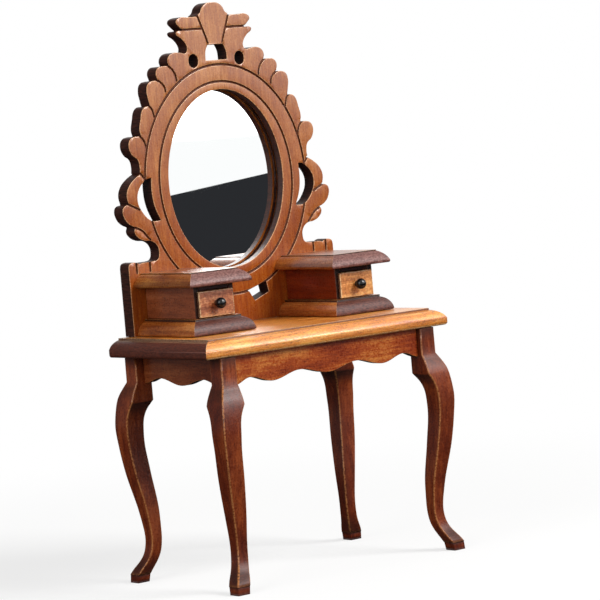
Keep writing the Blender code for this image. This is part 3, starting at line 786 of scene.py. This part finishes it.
def shade_moulding(
    bm: bmesh.types.BMesh,
    step: float,
    lip: float = 0.0,
    upright: float = 0.4,
    underside: float = -0.9,
) -> None:
    """Paints shade on the upright of a moulding's step, and lighter shade on its sides' lower lips.

    Args:
        bm: The mesh, which is changed.
        step: The step's height below the board's top.
        lip: How far up from the board's foot the painted shade reaches.
        upright: How far a face may look up or down and still be upright.
        underside: How far down a face looks to be the underside, which stays clean.
    """
    tone = layer(bm.faces, TONE)
    heights = [vert.co.z for vert in bm.verts]
    for face in bm.faces:
        middle = face.calc_center_median().z
        is_side = abs(face.normal.x) > abs(face.normal.y) and face.normal.z > underside
        # Painted shade on the step's upright and on the sides' lower lips
        if abs(face.normal.z) < upright and middle > max(heights) - step:
            face[tone] = STEP_SHADE
        elif is_side and middle < min(heights) + lip:
            face[tone] = LIP_SHADE


def settle_faces(bm: bmesh.types.BMesh) -> None:
    """Puts faces in the order of their points, because a spin leaves them in another each run.

    Args:
        bm: The mesh, which is changed.
    """
    bm.verts.index_update()
    ordered = sorted(bm.faces, key=lambda face: sorted(vert.index for vert in face.verts))
    rank = {face: index for index, face in enumerate(ordered)}
    bm.faces.sort(key=lambda face: rank[face])


def evaluated_copy(obj: bpy.types.Object) -> bmesh.types.BMesh:
    """The mesh of a helper object with its modifiers, and the helper removed.

    Args:
        obj: The helper, which is removed.

    Returns:
        Its mesh as the modifiers leave it.
    """
    bpy.context.scene.collection.objects.link(obj)
    bpy.context.view_layer.update()
    finished = obj.evaluated_get(bpy.context.evaluated_depsgraph_get())
    mesh = bpy.data.meshes.new_from_object(finished)
    bpy.data.objects.remove(obj)
    bm = bmesh.new()
    bm.from_mesh(mesh)
    bpy.data.meshes.remove(mesh)
    bmesh.ops.remove_doubles(bm, verts=bm.verts, dist=WELD)
    return bm


def helper(
    name: str, bm: bmesh.types.BMesh, materials: Iterable[bpy.types.Material] = ()
) -> bpy.types.Object:
    """Makes an object, not yet in the scene.

    Args:
        name: The object's name.
        bm: Its mesh, which is freed.
        materials: Its materials, in the order of its faces' indices.

    Returns:
        The object.
    """
    mesh = bpy.data.meshes.new(name)
    bm.to_mesh(mesh)
    bm.free()
    for material in materials:
        mesh.materials.append(material)
    return bpy.data.objects.new(name, mesh)


@dataclass(kw_only=True)
class Assembly:
    """A sub-assembly: what its pieces share on their way into the scene."""

    body: str = "table"
    smooth_angle: float = math.radians(38)

    def place(
        self,
        node: str,
        bm: bmesh.types.BMesh,
        materials: Iterable[bpy.types.Material],
        slot: Slot,
    ) -> None:
        """Puts a finished piece in the scene in place of its node.

        Args:
            node: The node that the piece stands for.
            bm: The piece's mesh, which is freed.
            materials: Its materials, in the order of its faces' indices.
            slot: The record's finish; not used.
        """
        low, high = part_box(node)
        for vert in bm.verts:
            vert.co = [min(max(at, least), most) for at, least, most in zip(vert.co, low, high)]
        piece = helper(f"finished_{node}", bm, materials)
        piece.data.shade_smooth()
        piece.data.set_sharp_from_angle(angle=self.smooth_angle)
        bpy.context.scene.collection.objects.link(piece)
        level = piece.modifiers.new("level_faces", "WEIGHTED_NORMAL")
        level.keep_sharp = True
        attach(piece, self.body)
        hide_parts(node)
        log.info("%s: %d faces on %s", piece.name, len(piece.data.polygons), self.body)

    def joinery(
        self,
        node: str,
        timber: Timber,
        grain: Grain,
        arris: float,
        slot: Slot,
        step: float = 0.0,
        lip: float = 0.0,
    ) -> None:
        """Dresses a piece of timber as its node has it, with rounded arrises.

        Args:
            node: The node that the piece stands for.
            timber: Its finish.
            grain: The way its timber runs.
            arris: How far the rounding reaches from each edge.
            slot: The record's finish.
            step: The height of its moulding's step, whose upright gets painted shade.
            lip: The height of its moulding's lower lip, which gets some painted shade.
        """
        bm = node_copy(node)
        shade_moulding(bm, step, lip)
        soften(bm, arris)
        mark_ends(bm, grain)
        self.place(node, bm, [timber.material(grain)], slot)


@dataclass
class TableTop(Assembly):
    """The moulded top board, its grain from end to end, its nose's lip rubbed and painted light.

    A facing is how far a face has to look one way, and a tone is the mark that it then gets: painted
    shade below 0, and wear and painted light above.
    """

    arris: float = 0.28 * MM
    step: float = 0.5 * MM
    quirk: float = 0.4 * MM
    nose: float = 1.9 * MM
    lip: float = 0.8 * MM
    quirk_facing: float = 0.5
    front_facing: float = 0.05
    end_facing: float = 0.9
    nose_facing: float = 0.3
    # Painted shade on the front's quirk and nose; painted light on the ends' steps, and wear with
    # painted bounce light on the lip
    quirk_shade_tone: float = -0.2
    end_quirk_shade_tone: float = 0.12
    end_step_light_tone: float = 0.15
    nose_shade_tone: float = -0.28
    lip_wear_and_bounce_tone: float = 0.6

    def build(self) -> None:
        """Builds and dresses the top."""
        bm = node_copy("table_top")
        shade_moulding(bm, self.step)
        self.shade_and_rub_edges(bm)
        soften(bm, self.arris)
        mark_ends(bm, Grain.ALONG_X)
        self.place("table_top", bm, [TOP_TIMBER.material(Grain.ALONG_X)], Slot.HONEY)

    def shade_and_rub_edges(self, bm: bmesh.types.BMesh) -> None:
        """Paints shade on the front's quirk and nose, paints the lip pale as wear and bounce light,
        rubs the ends' quirks and paints light on their steps.

        Args:
            bm: The top's mesh, which is changed.
        """
        tone = layer(bm.faces, TONE)
        heights = [vert.co.z for vert in bm.verts]
        for face in bm.faces:
            middle = face.calc_center_median().z
            rise = middle - min(heights)
            drop = max(heights) - self.step - middle
            is_front = face.normal.y < -self.front_facing
            # The front's quirk gets painted shade; the ends' quirks are rubbed pale
            if 0.0 < drop < self.quirk and face.normal.z > self.quirk_facing:
                face[tone] = self.quirk_shade_tone if is_front else self.end_quirk_shade_tone
            # The ends' step uprights are painted pale: painted light that lifts their shade
            elif drop < 0.0 and abs(face.normal.x) > self.end_facing:
                face[tone] = self.end_step_light_tone
            # The nose gets painted shade, and its lowest lip is painted pale as wear and bounce light
            elif face.normal.y < -self.nose_facing and rise < self.nose:
                face[tone] = self.nose_shade_tone if rise > self.lip / 2 else self.lip_wear_and_bounce_tone


@dataclass
class Legs(Assembly):
    """Four cabriole legs with rubbed arrises, their grain upright.

    An arris falls by at least arris_fall of its length, which leaves out the level edges.
    """

    arris: float = 0.56 * MM
    arris_steps: int = 5
    arris_border: float = 0.05
    arris_angle: float = math.radians(60)
    arris_fall: float = 0.3
    crease_angle: float = math.radians(24)
    levels: int = 1
    pad_height: float = 2.2 * MM
    toe_slack: float = 10 * WELD
    toe_wear: float = 0.4

    def build(self) -> None:
        """Builds and dresses the legs."""
        for row in ("front", "back"):
            for side in Side:
                node = f"{row}_{side.word}_leg"
                bm = self.smoothed(node)
                arrises = [edge for edge in bm.edges if self.is_arris(edge)]
                round_edges(bm, arrises, self.arris, self.arris_steps, self.arris_border)
                self.rub_toes(bm)
                mark_ends(bm, Grain.ALONG_Z)
                self.place(node, bm, [LEG_TIMBER.material(Grain.ALONG_Z)], Slot.STAINED)

    def rub_toes(self, bm: bmesh.types.BMesh) -> None:
        """Marks the rim of a foot, where it overhangs its pad, as rubbed.

        Args:
            bm: The leg's mesh, which is changed.
        """
        wear = layer(bm.verts, WEAR)
        for vert in bm.verts:
            is_rim = abs(vert.co.z - self.pad_height) < self.toe_slack
            tops = [face.calc_center_median().z - self.pad_height for face in vert.link_faces]
            if is_rim and any(rise > self.toe_slack for rise in tops):
                vert[wear] = self.toe_wear

    def is_arris(self, edge: bmesh.types.BMEdge) -> bool:
        """Whether an edge is one of the four that run down a leg.

        Args:
            edge: The edge.

        Returns:
            True for an edge above the pad that turns sharply and falls steeply enough.
        """
        start, end = (vert.co for vert in edge.verts)
        run = end - start
        is_steep = abs(run.z) > self.arris_fall * run.length
        is_high = (start.z + end.z) / 2 > self.pad_height
        is_sharp = edge.is_convex and edge.calc_face_angle() > self.arris_angle
        return is_steep and is_high and is_sharp

    def smoothed(self, node: str) -> bmesh.types.BMesh:
        """A leg with a finer curve along its length, and its corners kept.

        Args:
            node: The leg's node.

        Returns:
            The finer mesh.
        """
        bm = node_copy(node)
        bmesh.ops.connect_verts_concave(bm, faces=bm.faces)
        crease = layer(bm.edges, CREASE)
        for edge in bm.edges:
            edge[crease] = float(edge.calc_face_angle() > self.crease_angle)
        leg = helper(node + "_cage", bm)
        finer = leg.modifiers.new("finer", "SUBSURF")
        finer.levels = finer.render_levels = self.levels
        return evaluated_copy(leg)


@dataclass
class Aprons(Assembly):
    """The rails under the top, scalloped at the front and sides."""

    arris: float = 0.16 * MM

    def build(self) -> None:
        """Builds and dresses the aprons."""
        for word in ("front", "back"):
            self.joinery(f"{word}_apron", APRON_TIMBER, Grain.ALONG_X, self.arris, Slot.STAINED)
        for side in Side:
            node = f"{side.word}_apron"
            self.joinery(node, SHADED_SIDE_APRON_TIMBER, Grain.ALONG_Y, self.arris, Slot.STAINED)


@dataclass
class BackBoard(Assembly):
    """The fretted board: scorched edges and holes, engraved leaves and rings, a front arris rubbed
    pale with painted highlight.

    The engraved lines are in millimetres, (x, z) on the right half, as the left half mirrors them.
    The keystone's are cut apart from the rest, because they meet one. The rounding takes at most
    arris_share of the length of an edge, so that it doesn't fold over on short ones.
    """

    cut_facing: float = 0.5
    groove_radius: float = 0.34 * MM
    groove_sink: float = 0.1 * MM
    groove_steps: int = 2
    line_steps: int = 6
    arris: float = 0.15 * MM
    arris_share: float = 0.4
    front_facing: float = 0.99
    pin_mm: Point = (7.8, 138.0)
    pin_reach: float = 2.2 * MM
    pin_taper: float = 0.15
    ring_centre_mm: float = 105.3
    ring_radii_mm: tuple[Point, ...] = ((27.2, 31.3), (22.5, 26.7))
    ring_points: int = 120
    keystone_mm: tuple[Path, ...] = (((5.6, 151.0), (2.3, 142.4)),)
    lines_mm: tuple[Path, ...] = (
        ((4.0, 146.55), (11.2, 146.55)),
        ((16.6, 137.4), (15.0, 136.0), (14.2, 134.5), (13.9, 132.9)),
        ((20.8, 133.8), (19.0, 132.7), (18.1, 131.5), (17.9, 130.2)),
        ((23.9, 127.0), (23.0, 126.1), (22.6, 125.0), (22.3, 123.7)),
        ((27.7, 119.2), (26.5, 117.9), (26.0, 116.6), (25.8, 115.5)),
        ((28.7, 109.4), (27.1, 107.5)),
        ((33.4, 101.4), (29.5, 99.5)),
        ((32.0, 95.1), (29.5, 93.9), (28.0, 92.3), (26.9, 91.2)),
        ((28.0, 86.0), (28.0, 82.8)),
        ((32.4, 86.2), (32.4, 82.7)),
    )

    def build(self) -> None:
        """Builds and dresses the board."""
        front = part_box("back_board")[0].y
        bm = node_copy("back_board")
        self.taper_pin_holes(bm)
        for face in bm.faces:
            face.material_index = int(abs(face.normal.y) < self.cut_facing)
        timber = BOARD_TIMBER.material(Grain.ALONG_Z)
        materials = [timber, CUT_EDGE.material(), ENGRAVING.material()]
        board = helper("board_blank", bm, materials)
        rings = [self.ring(across, up) for across, up in self.ring_radii_mm]
        cutters = [
            self.cutter("rings", rings, True, front, materials),
            self.cutter("keystone", self.both_halves(self.keystone_mm), False, front, materials),
            self.cutter("lines", self.both_halves(self.lines_mm), False, front, materials),
        ]
        for cutter in cutters:
            cut = board.modifiers.new(cutter.name, "BOOLEAN")
            cut.operation = "DIFFERENCE"
            cut.solver = "EXACT"
            cut.object = cutter
        bm = evaluated_copy(board)
        for cutter in cutters:
            bpy.data.objects.remove(cutter)
        self.rub_and_highlight_front(bm, front)
        self.place("back_board", bm, materials, Slot.BOARD)

    def taper_pin_holes(self, bm: bmesh.types.BMesh) -> None:
        """Narrows the two round holes towards the board's back, as the beam cuts them.

        Args:
            bm: The board's mesh, which is changed.
        """
        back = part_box("back_board")[1].y
        across, up = (place * MM for place in self.pin_mm)
        rims = [vert for vert in bm.verts if vert.co.y > back - WELD]
        for side in Side:
            for vert in rims:
                offset = vert.co - Vector((side.value * across, vert.co.y, up))
                if offset.length < self.pin_reach:
                    vert.co -= self.pin_taper * offset

    @staticmethod
    def both_halves(lines: tuple[Path, ...]) -> list[list[Point]]:
        """The right half's lines, each with its mirror image."""
        return [[(side.value * x, z) for x, z in line] for line in lines for side in Side]

    def ring(self, across: float, up: float) -> list[Point]:
        """Points round an engraved oval.

        Args:
            across: Half its width, in millimetres.
            up: Half its height, in millimetres.

        Returns:
            The points, (x, z) in millimetres.
        """
        middle = self.ring_centre_mm
        turns = [math.tau * index / self.ring_points for index in range(self.ring_points)]
        return [(across * math.cos(turn), middle + up * math.sin(turn)) for turn in turns]

    def cutter(
        self,
        name: str,
        paths: list[list[Point]],
        closed: bool,
        front: float,
        materials: list[bpy.types.Material],
    ) -> bpy.types.Object:
        """Round rods along engraved lines, which cut the grooves.

        Args:
            name: The rods' name.
            paths: Points along each line, (x, z) in millimetres.
            closed: Whether each line ends where it starts.
            front: The board's front face.
            materials: The board's materials, of which the last is the engraving's.

        Returns:
            The rods, linked to the scene.
        """
        curve = bpy.data.curves.new(name, "CURVE")
        curve.dimensions = "3D"
        curve.bevel_depth = self.groove_radius
        curve.bevel_resolution = self.groove_steps
        curve.resolution_u = 1 if closed else self.line_steps
        curve.use_fill_caps = True
        for path in paths:
            spline = curve.splines.new("BEZIER")
            spline.use_cyclic_u = closed
            spline.bezier_points.add(len(path) - 1)
            for point, (x, z) in zip(spline.bezier_points, path):
                point.co = (x * MM, front + self.groove_sink, z * MM)
                point.handle_left_type = point.handle_right_type = "AUTO"
        bm = evaluated_copy(bpy.data.objects.new(name, curve))
        bmesh.ops.recalc_face_normals(bm, faces=bm.faces)
        for face in bm.faces:
            face.material_index = len(materials) - 1
        rods = helper(name, bm, materials)
        bpy.context.scene.collection.objects.link(rods)
        return rods

    def rub_and_highlight_front(self, bm: bmesh.types.BMesh, front: float) -> None:
        """Rounds off the front along every cut, paints that pale as wear and painted highlight, and
        fills the front anew.

        Args:
            bm: The board's mesh, which is changed.
            front: The board's front face.
        """
        tone = layer(bm.faces, TONE)
        faces = [
            face
            for face in bm.faces
            if face.normal.y < -self.front_facing
            and abs(face.calc_center_median().y - front) < WELD
        ]
        made = bmesh.ops.inset_region(bm, faces=faces, thickness=0.0, depth=0.0, use_boundary=True)
        band = made["faces"]
        kept = set(faces)
        outline: list[bmesh.types.BMEdge] = []
        inward: dict[bmesh.types.BMVert, Vector] = {}
        reach: dict[bmesh.types.BMVert, float] = {}
        for face in band:
            face.material_index = 0
            # Painted pale: wear along the cuts, and painted highlight on their rounding
            face[tone] = 1.0
            for loop in face.loops:
                if loop.link_loop_radial_next.face not in kept:
                    continue
                outline.append(loop.edge)
                along = loop.vert.co - loop.link_loop_next.vert.co
                across = along.cross(Vector((0.0, 1.0, 0.0))).normalized()
                for vert in loop.edge.verts:
                    inward[vert] = inward.get(vert, Vector()) + across
                    room = self.arris_share * along.length
                    reach[vert] = min(reach.get(vert, self.arris), room)
        for vert in {vert for face in band for vert in face.verts} - inward.keys():
            vert.co.y += self.arris
        for vert, way in inward.items():
            vert.co += reach[vert] * way.normalized()
        bmesh.ops.delete(bm, geom=faces, context="FACES_KEEP_BOUNDARY")
        bmesh.ops.triangle_fill(bm, use_beauty=True, edges=outline, normal=(0.0, -1.0, 0.0))


@dataclass
class Mirror(Assembly):
    """The oval glass in the board's rebate and the card behind it."""

    steps: int = 160
    rim: float = 0.08 * MM
    rim_angle: float = math.radians(60)
    rim_steps: int = 2

    def build(self) -> None:
        """Builds and dresses the glass and the card."""
        for node, finish, slot in (
            ("mirror_glass", Silvering(), Slot.MIRROR),
            ("mirror_backing", Card(), Slot.CARD),
        ):
            self.place(node, self.plate(node), [finish.material()], slot)

    def plate(self, node: str) -> bmesh.types.BMesh:
        """A thin oval plate with a softened rim, as large as its node.

        Args:
            node: The plate's node.

        Returns:
            The plate's mesh.
        """
        low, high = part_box(node)
        bm = bmesh.new()
        bmesh.ops.create_cone(
            bm, cap_ends=True, cap_tris=False, segments=self.steps, radius1=0.5, radius2=0.5,
            depth=1.0, matrix=Matrix.Rotation(math.pi / 2, 4, "X"),
        )
        bmesh.ops.scale(bm, vec=high - low, verts=bm.verts)
        bmesh.ops.translate(bm, vec=(low + high) / 2, verts=bm.verts)
        rims = [edge for edge in bm.edges if edge.calc_face_angle() > self.rim_angle]
        bmesh.ops.bevel(
            bm, geom=rims, offset=self.rim, offset_type="OFFSET", affect="EDGES",
            segments=self.rim_steps, profile=0.5, material=-1,
        )
        return bm


@dataclass
class Cabinet(Assembly):
    """One cabinet: moulded base and top and the sides, grained front to back, a back and a rail."""

    side: Side
    moulding_arris: float = 0.18 * MM
    board_arris: float = 0.12 * MM
    base_step: float = 0.6 * MM
    top_step: float = 0.25 * MM
    lip: float = 1.5 * MM

    def build(self) -> None:
        """Builds and dresses the cabinet."""
        name = f"{self.side.word}_cabinet"
        for word, timber, step in (
            ("base", BASE_TIMBER, self.base_step),
            ("top", CAP_TIMBER, self.top_step),
        ):
            self.joinery(
                f"{name}_{word}", timber, Grain.ALONG_Y, self.moulding_arris, Slot.STAINED,
                step, self.lip,
            )
        for word, timber in (("outer_side", OUTER_SIDE_TIMBER), ("inner_side", SHADED_INNER_SIDE_TIMBER)):
            self.joinery(f"{name}_{word}", timber, Grain.ALONG_Y, self.board_arris, Slot.STAINED)
        self.joinery(f"{name}_rail", SHADED_RAIL_TIMBER, Grain.ALONG_X, self.board_arris, Slot.STAINED)
        self.joinery(f"{name}_back", BARE_TIMBER, Grain.ALONG_X, self.board_arris, Slot.BARE)


@dataclass
class Drawer(Assembly):
    """One drawer: a stained front with its knob, on a bare birch box."""

    side: Side
    front_arris: float = 0.34 * MM
    arris: float = 0.12 * MM
    knob_steps: int = 48
    knob_arc_steps: int = 24
    neck_radius: float = 0.85 * MM
    spigot_radius: float = 0.4 * MM
    seat_gap: float = 0.1 * MM

    def __post_init__(self) -> None:
        """Names the body that the drawer rides on."""
        self.body = f"{self.side.word}_drawer"

    def build(self) -> None:
        """Builds and dresses the drawer."""
        timber = LEFT_DRAWER_TIMBER if self.side is Side.LEFT else RIGHT_DRAWER_TIMBER
        self.joinery(f"{self.body}_front", timber, Grain.ALONG_X, self.front_arris, Slot.HONEY)
        grains = {
            "left_side": Grain.ALONG_Y,
            "right_side": Grain.ALONG_Y,
            "back": Grain.ALONG_X,
            "bottom": Grain.ALONG_Y,
        }
        for word, grain in grains.items():
            self.joinery(f"{self.body}_{word}", BARE_TIMBER, grain, self.arris, Slot.BARE)
        self.place(f"{self.body}_knob", self.knob(), [Lacquer().material()], Slot.BLACK)

    def knob(self) -> bmesh.types.BMesh:
        """The turned knob: a ball on a neck, and the spigot that goes through the front.

        Returns:
            The knob's mesh.
        """
        low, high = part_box(f"{self.body}_knob")
        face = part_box(f"{self.body}_front")[0].y
        ball = (high.x - low.x) / 2
        centre = low.y + ball
        last = math.pi - math.asin(self.neck_radius / ball)
        turns = [last * index / self.knob_arc_steps for index in range(self.knob_arc_steps + 1)]
        profile = [(ball * math.sin(turn), centre - ball * math.cos(turn)) for turn in turns]
        seat = face - self.seat_gap
        profile += [(self.neck_radius, seat), (self.spigot_radius, seat)]
        profile += [(self.spigot_radius, high.y), (0.0, high.y)]
        bm = bmesh.new()
        verts = [bm.verts.new((radius, y, 0.0)) for radius, y in profile]
        edges = [bm.edges.new(pair) for pair in zip(verts, verts[1:])]
        bmesh.ops.spin(
            bm, geom=[*verts, *edges], cent=(0.0, 0.0, 0.0), axis=(0.0, 1.0, 0.0),
            angle=math.tau, steps=self.knob_steps, use_merge=True,
        )
        bmesh.ops.remove_doubles(bm, verts=bm.verts, dist=WELD)
        bmesh.ops.recalc_face_normals(bm, faces=bm.faces)
        settle_faces(bm)
        middle = (low + high) / 2
        bmesh.ops.translate(bm, vec=(middle.x, 0.0, middle.z), verts=bm.verts)
        return bm


@dataclass(frozen=True)
class Reflector:
    """A card that only reflections see: dark, or bright as a softbox.

    Each corner is (reach along the card's way, distance across it, height), in metres.
    """

    name: str
    way: Point
    corners: tuple[Triple, ...]
    colour: str = "#2A2B2E"
    strength: float = 1.0

    def build(self) -> None:
        """Builds the card and keeps it out of the model."""
        material, _, shader = new_material(self.name)
        shader.inputs["Base Color"].default_value = linear(BLACK)
        shader.inputs["Roughness"].default_value = 1.0
        shader.inputs["Specular IOR Level"].default_value = 0.0
        shader.inputs["Emission Color"].default_value = linear(self.colour)
        shader.inputs["Emission Strength"].default_value = self.strength
        up = Vector((0.0, 0.0, 1.0))
        ahead = Vector((*self.way, 0.0)).normalized()
        across = Vector((-ahead.y, ahead.x, 0.0))
        bm = bmesh.new()
        places = [ahead * reach + across * aside + up * z for reach, aside, z in self.corners]
        bm.faces.new([bm.verts.new(place) for place in places])
        card = helper(self.name, bm, [material])
        bpy.context.scene.collection.objects.link(card)
        for ray in ("camera", "diffuse", "transmission", "volume_scatter", "shadow"):
            setattr(card, f"visible_{ray}", False)


@dataclass(frozen=True)
class Lamp:
    """A square soft lamp."""

    name: str
    place: Triple
    side: float
    watts: float

    def build(self, target: Triple) -> None:
        """Hangs the lamp so that it looks at the table.

        Args:
            target: The point that it looks at.
        """
        light = bpy.data.lights.new(self.name, "AREA")
        light.shape = "SQUARE"
        light.size = self.side
        light.energy = self.watts
        holder = bpy.data.objects.new(self.name, light)
        aim = Vector(target) - Vector(self.place)
        turn = aim.to_track_quat("-Z", "Y").to_matrix().to_4x4()
        holder.matrix_world = Matrix.Translation(self.place) @ turn
        bpy.context.scene.collection.objects.link(holder)


@dataclass
class Stage:
    """The floor, the lamps, the reflected cards, the background and the camera."""

    azimuth: float = math.radians(-37.95)
    elevation: float = math.radians(3.93)
    roll: float = math.radians(-4.86)
    distance: float = 816.6 * MM
    focal_pixels: float = 3067.9
    image_pixels: int = 600
    sensor_mm: float = 36.0
    clip: Point = (0.01, 100.0)
    target: Triple = (0.0, -10.32 * MM, 72.23 * MM)
    floor_half: float = 4.0
    floor_near: float = 0.1
    floor_far: float = 0.3
    floor_glow: float = 0.7
    floor_colour: str = "#F7F7F6"
    ambient: float = 0.3
    bounce: float = 0.2
    # A key lamp from the front right, and a larger, weaker one from the left
    lamps: tuple[Lamp, ...] = (
        Lamp("key", (0.42, -0.76, 0.8), 0.5, 13.0),
        Lamp("fill", (-0.95, -0.25, 0.5), 0.7, 4.8),
    )
    reflectors: tuple[Reflector, ...] = (
        Reflector(
            "front_card", FRONT_WAY,
            ((0.25, -0.4, 0.0375), (0.25, 0.6, 0.1822), (0.25, 0.6, 0.0), (0.25, -0.4, 0.0)),
        ),
        Reflector(
            "left_card", LEFT_WAY,
            ((0.5, -0.7, 0.9), (0.5, 0.7, 0.9), (0.5, 0.7, 0.0), (0.5, -0.7, 0.0)), "#747476",
        ),
        Reflector(
            "floor_card", FRONT_WAY,
            ((0.25, -0.7, 0.0005), (0.25, 0.7, 0.0005), (-0.5, 0.7, 0.0005), (-0.5, -0.7, 0.0005)),
        ),
        Reflector(
            "front_softbox", FRONT_WAY,
            ((1.2, -0.9, 2.2), (1.2, 0.9, 2.2), (1.2, 0.9, 0.1), (1.2, -0.9, 0.1)), WHITE, 3.0,
        ),
    )

    def build(self) -> None:
        """Builds the stage."""
        bpy.context.scene.view_settings.view_transform = "Standard"
        self.camera()
        self.world()
        self.floor()
        for lamp in self.lamps:
            lamp.build(self.target)
        for reflector in self.reflectors:
            reflector.build()

    def camera(self) -> None:
        """The camera, at the photograph's place and lean."""
        back = Vector((
            math.sin(self.azimuth) * math.cos(self.elevation),
            -math.cos(self.azimuth) * math.cos(self.elevation),
            math.sin(self.elevation),
        ))
        right = Vector((math.cos(self.azimuth), math.sin(self.azimuth), 0.0))
        lean = Matrix.Rotation(self.roll, 3, back)
        right = lean @ right
        up = back.cross(right)
        place = Vector(self.target) + back * self.distance
        lens = bpy.data.cameras.new("camera")
        lens.sensor_width = self.sensor_mm
        lens.lens = self.sensor_mm * self.focal_pixels / self.image_pixels
        lens.clip_start, lens.clip_end = self.clip
        camera = bpy.data.objects.new("camera", lens)
        turn = Matrix((right, up, back)).transposed().to_4x4()
        camera.matrix_world = Matrix.Translation(place) @ turn
        bpy.context.scene.collection.objects.link(camera)
        bpy.context.scene.camera = camera

    @staticmethod
    def seen(tree: bpy.types.NodeTree) -> bpy.types.NodeSocket:
        """1 for rays from the camera, a mirror or glass, 0 for the rest.

        Args:
            tree: The node tree.

        Returns:
            The share's output.
        """
        path = add(tree, "ShaderNodeLightPath")
        total: bpy.types.NodeSocket | float = 0.0
        for name in ("Is Camera Ray", "Is Glossy Ray", "Is Transmission Ray"):
            values = {0: path.outputs[name], 1: total}
            total = add(tree, "ShaderNodeMath", values, operation="MAXIMUM").outputs[0]
        return total

    def world(self) -> None:
        """A white background, with a plain level of light from all round."""
        world = bpy.data.worlds.new("studio")
        world.use_nodes = True
        bpy.context.scene.world = world
        tree = world.node_tree
        spread = {"Value": self.seen(tree), "To Min": self.ambient, "To Max": 1.0}
        strength = add(tree, "ShaderNodeMapRange", spread)
        sky = tree.nodes["Background"]
        sky.inputs["Color"].default_value = linear(WHITE)
        tree.links.new(strength.outputs["Result"], sky.inputs["Strength"])

    def floor(self) -> None:
        """A pale floor that holds the shadow near the table and fades to white further off."""
        material, tree, shader = new_material("pale_floor")
        tree.nodes.remove(shader)
        seen = self.seen(tree)
        place = add(tree, "ShaderNodeTexCoord")
        reach = add(tree, "ShaderNodeVectorMath", {0: place.outputs["Object"]}, operation="LENGTH")
        spread = {"From Min": self.floor_near, "From Max": self.floor_far, "To Min": self.floor_glow}
        values = {"Value": reach.outputs["Value"], **spread}
        fade = add(tree, "ShaderNodeMapRange", values, interpolation_type="SMOOTHSTEP")
        values = {0: fade.outputs["Result"], 1: seen}
        far = add(tree, "ShaderNodeMath", values, operation="MULTIPLY").outputs[0]
        grey = (self.bounce, self.bounce, self.bounce, 1.0)
        colours = {MIX_FACTOR: seen, MIX_A: grey, MIX_B: linear(self.floor_colour)}
        colour = add(tree, "ShaderNodeMix", colours, data_type="RGBA").outputs[MIX_RESULT]
        near = add(tree, "ShaderNodeBsdfDiffuse", {"Color": colour}).outputs[0]
        values = {"Color": linear(WHITE), "Strength": 1.0}
        white = add(tree, "ShaderNodeEmission", values).outputs[0]
        both = add(tree, "ShaderNodeMixShader", {0: far, 1: near, 2: white}).outputs[0]
        tree.links.new(both, tree.nodes["Material Output"].inputs["Surface"])
        bm = bmesh.new()
        bmesh.ops.create_grid(bm, x_segments=1, y_segments=1, size=self.floor_half)
        floor = helper("floor", bm, [material])
        bpy.context.scene.collection.objects.link(floor)


def main() -> None:
    """Builds the stage and every sub-assembly."""
    logging.basicConfig(level=logging.INFO, format="%(name)s %(message)s")
    Stage().build()
    TableTop().build()
    Legs().build()
    Aprons().build()
    BackBoard().build()
    Mirror().build()
    for side in Side:
        Cabinet(side).build()
        Drawer(side).build()


if __name__ == "__main__":
    main()
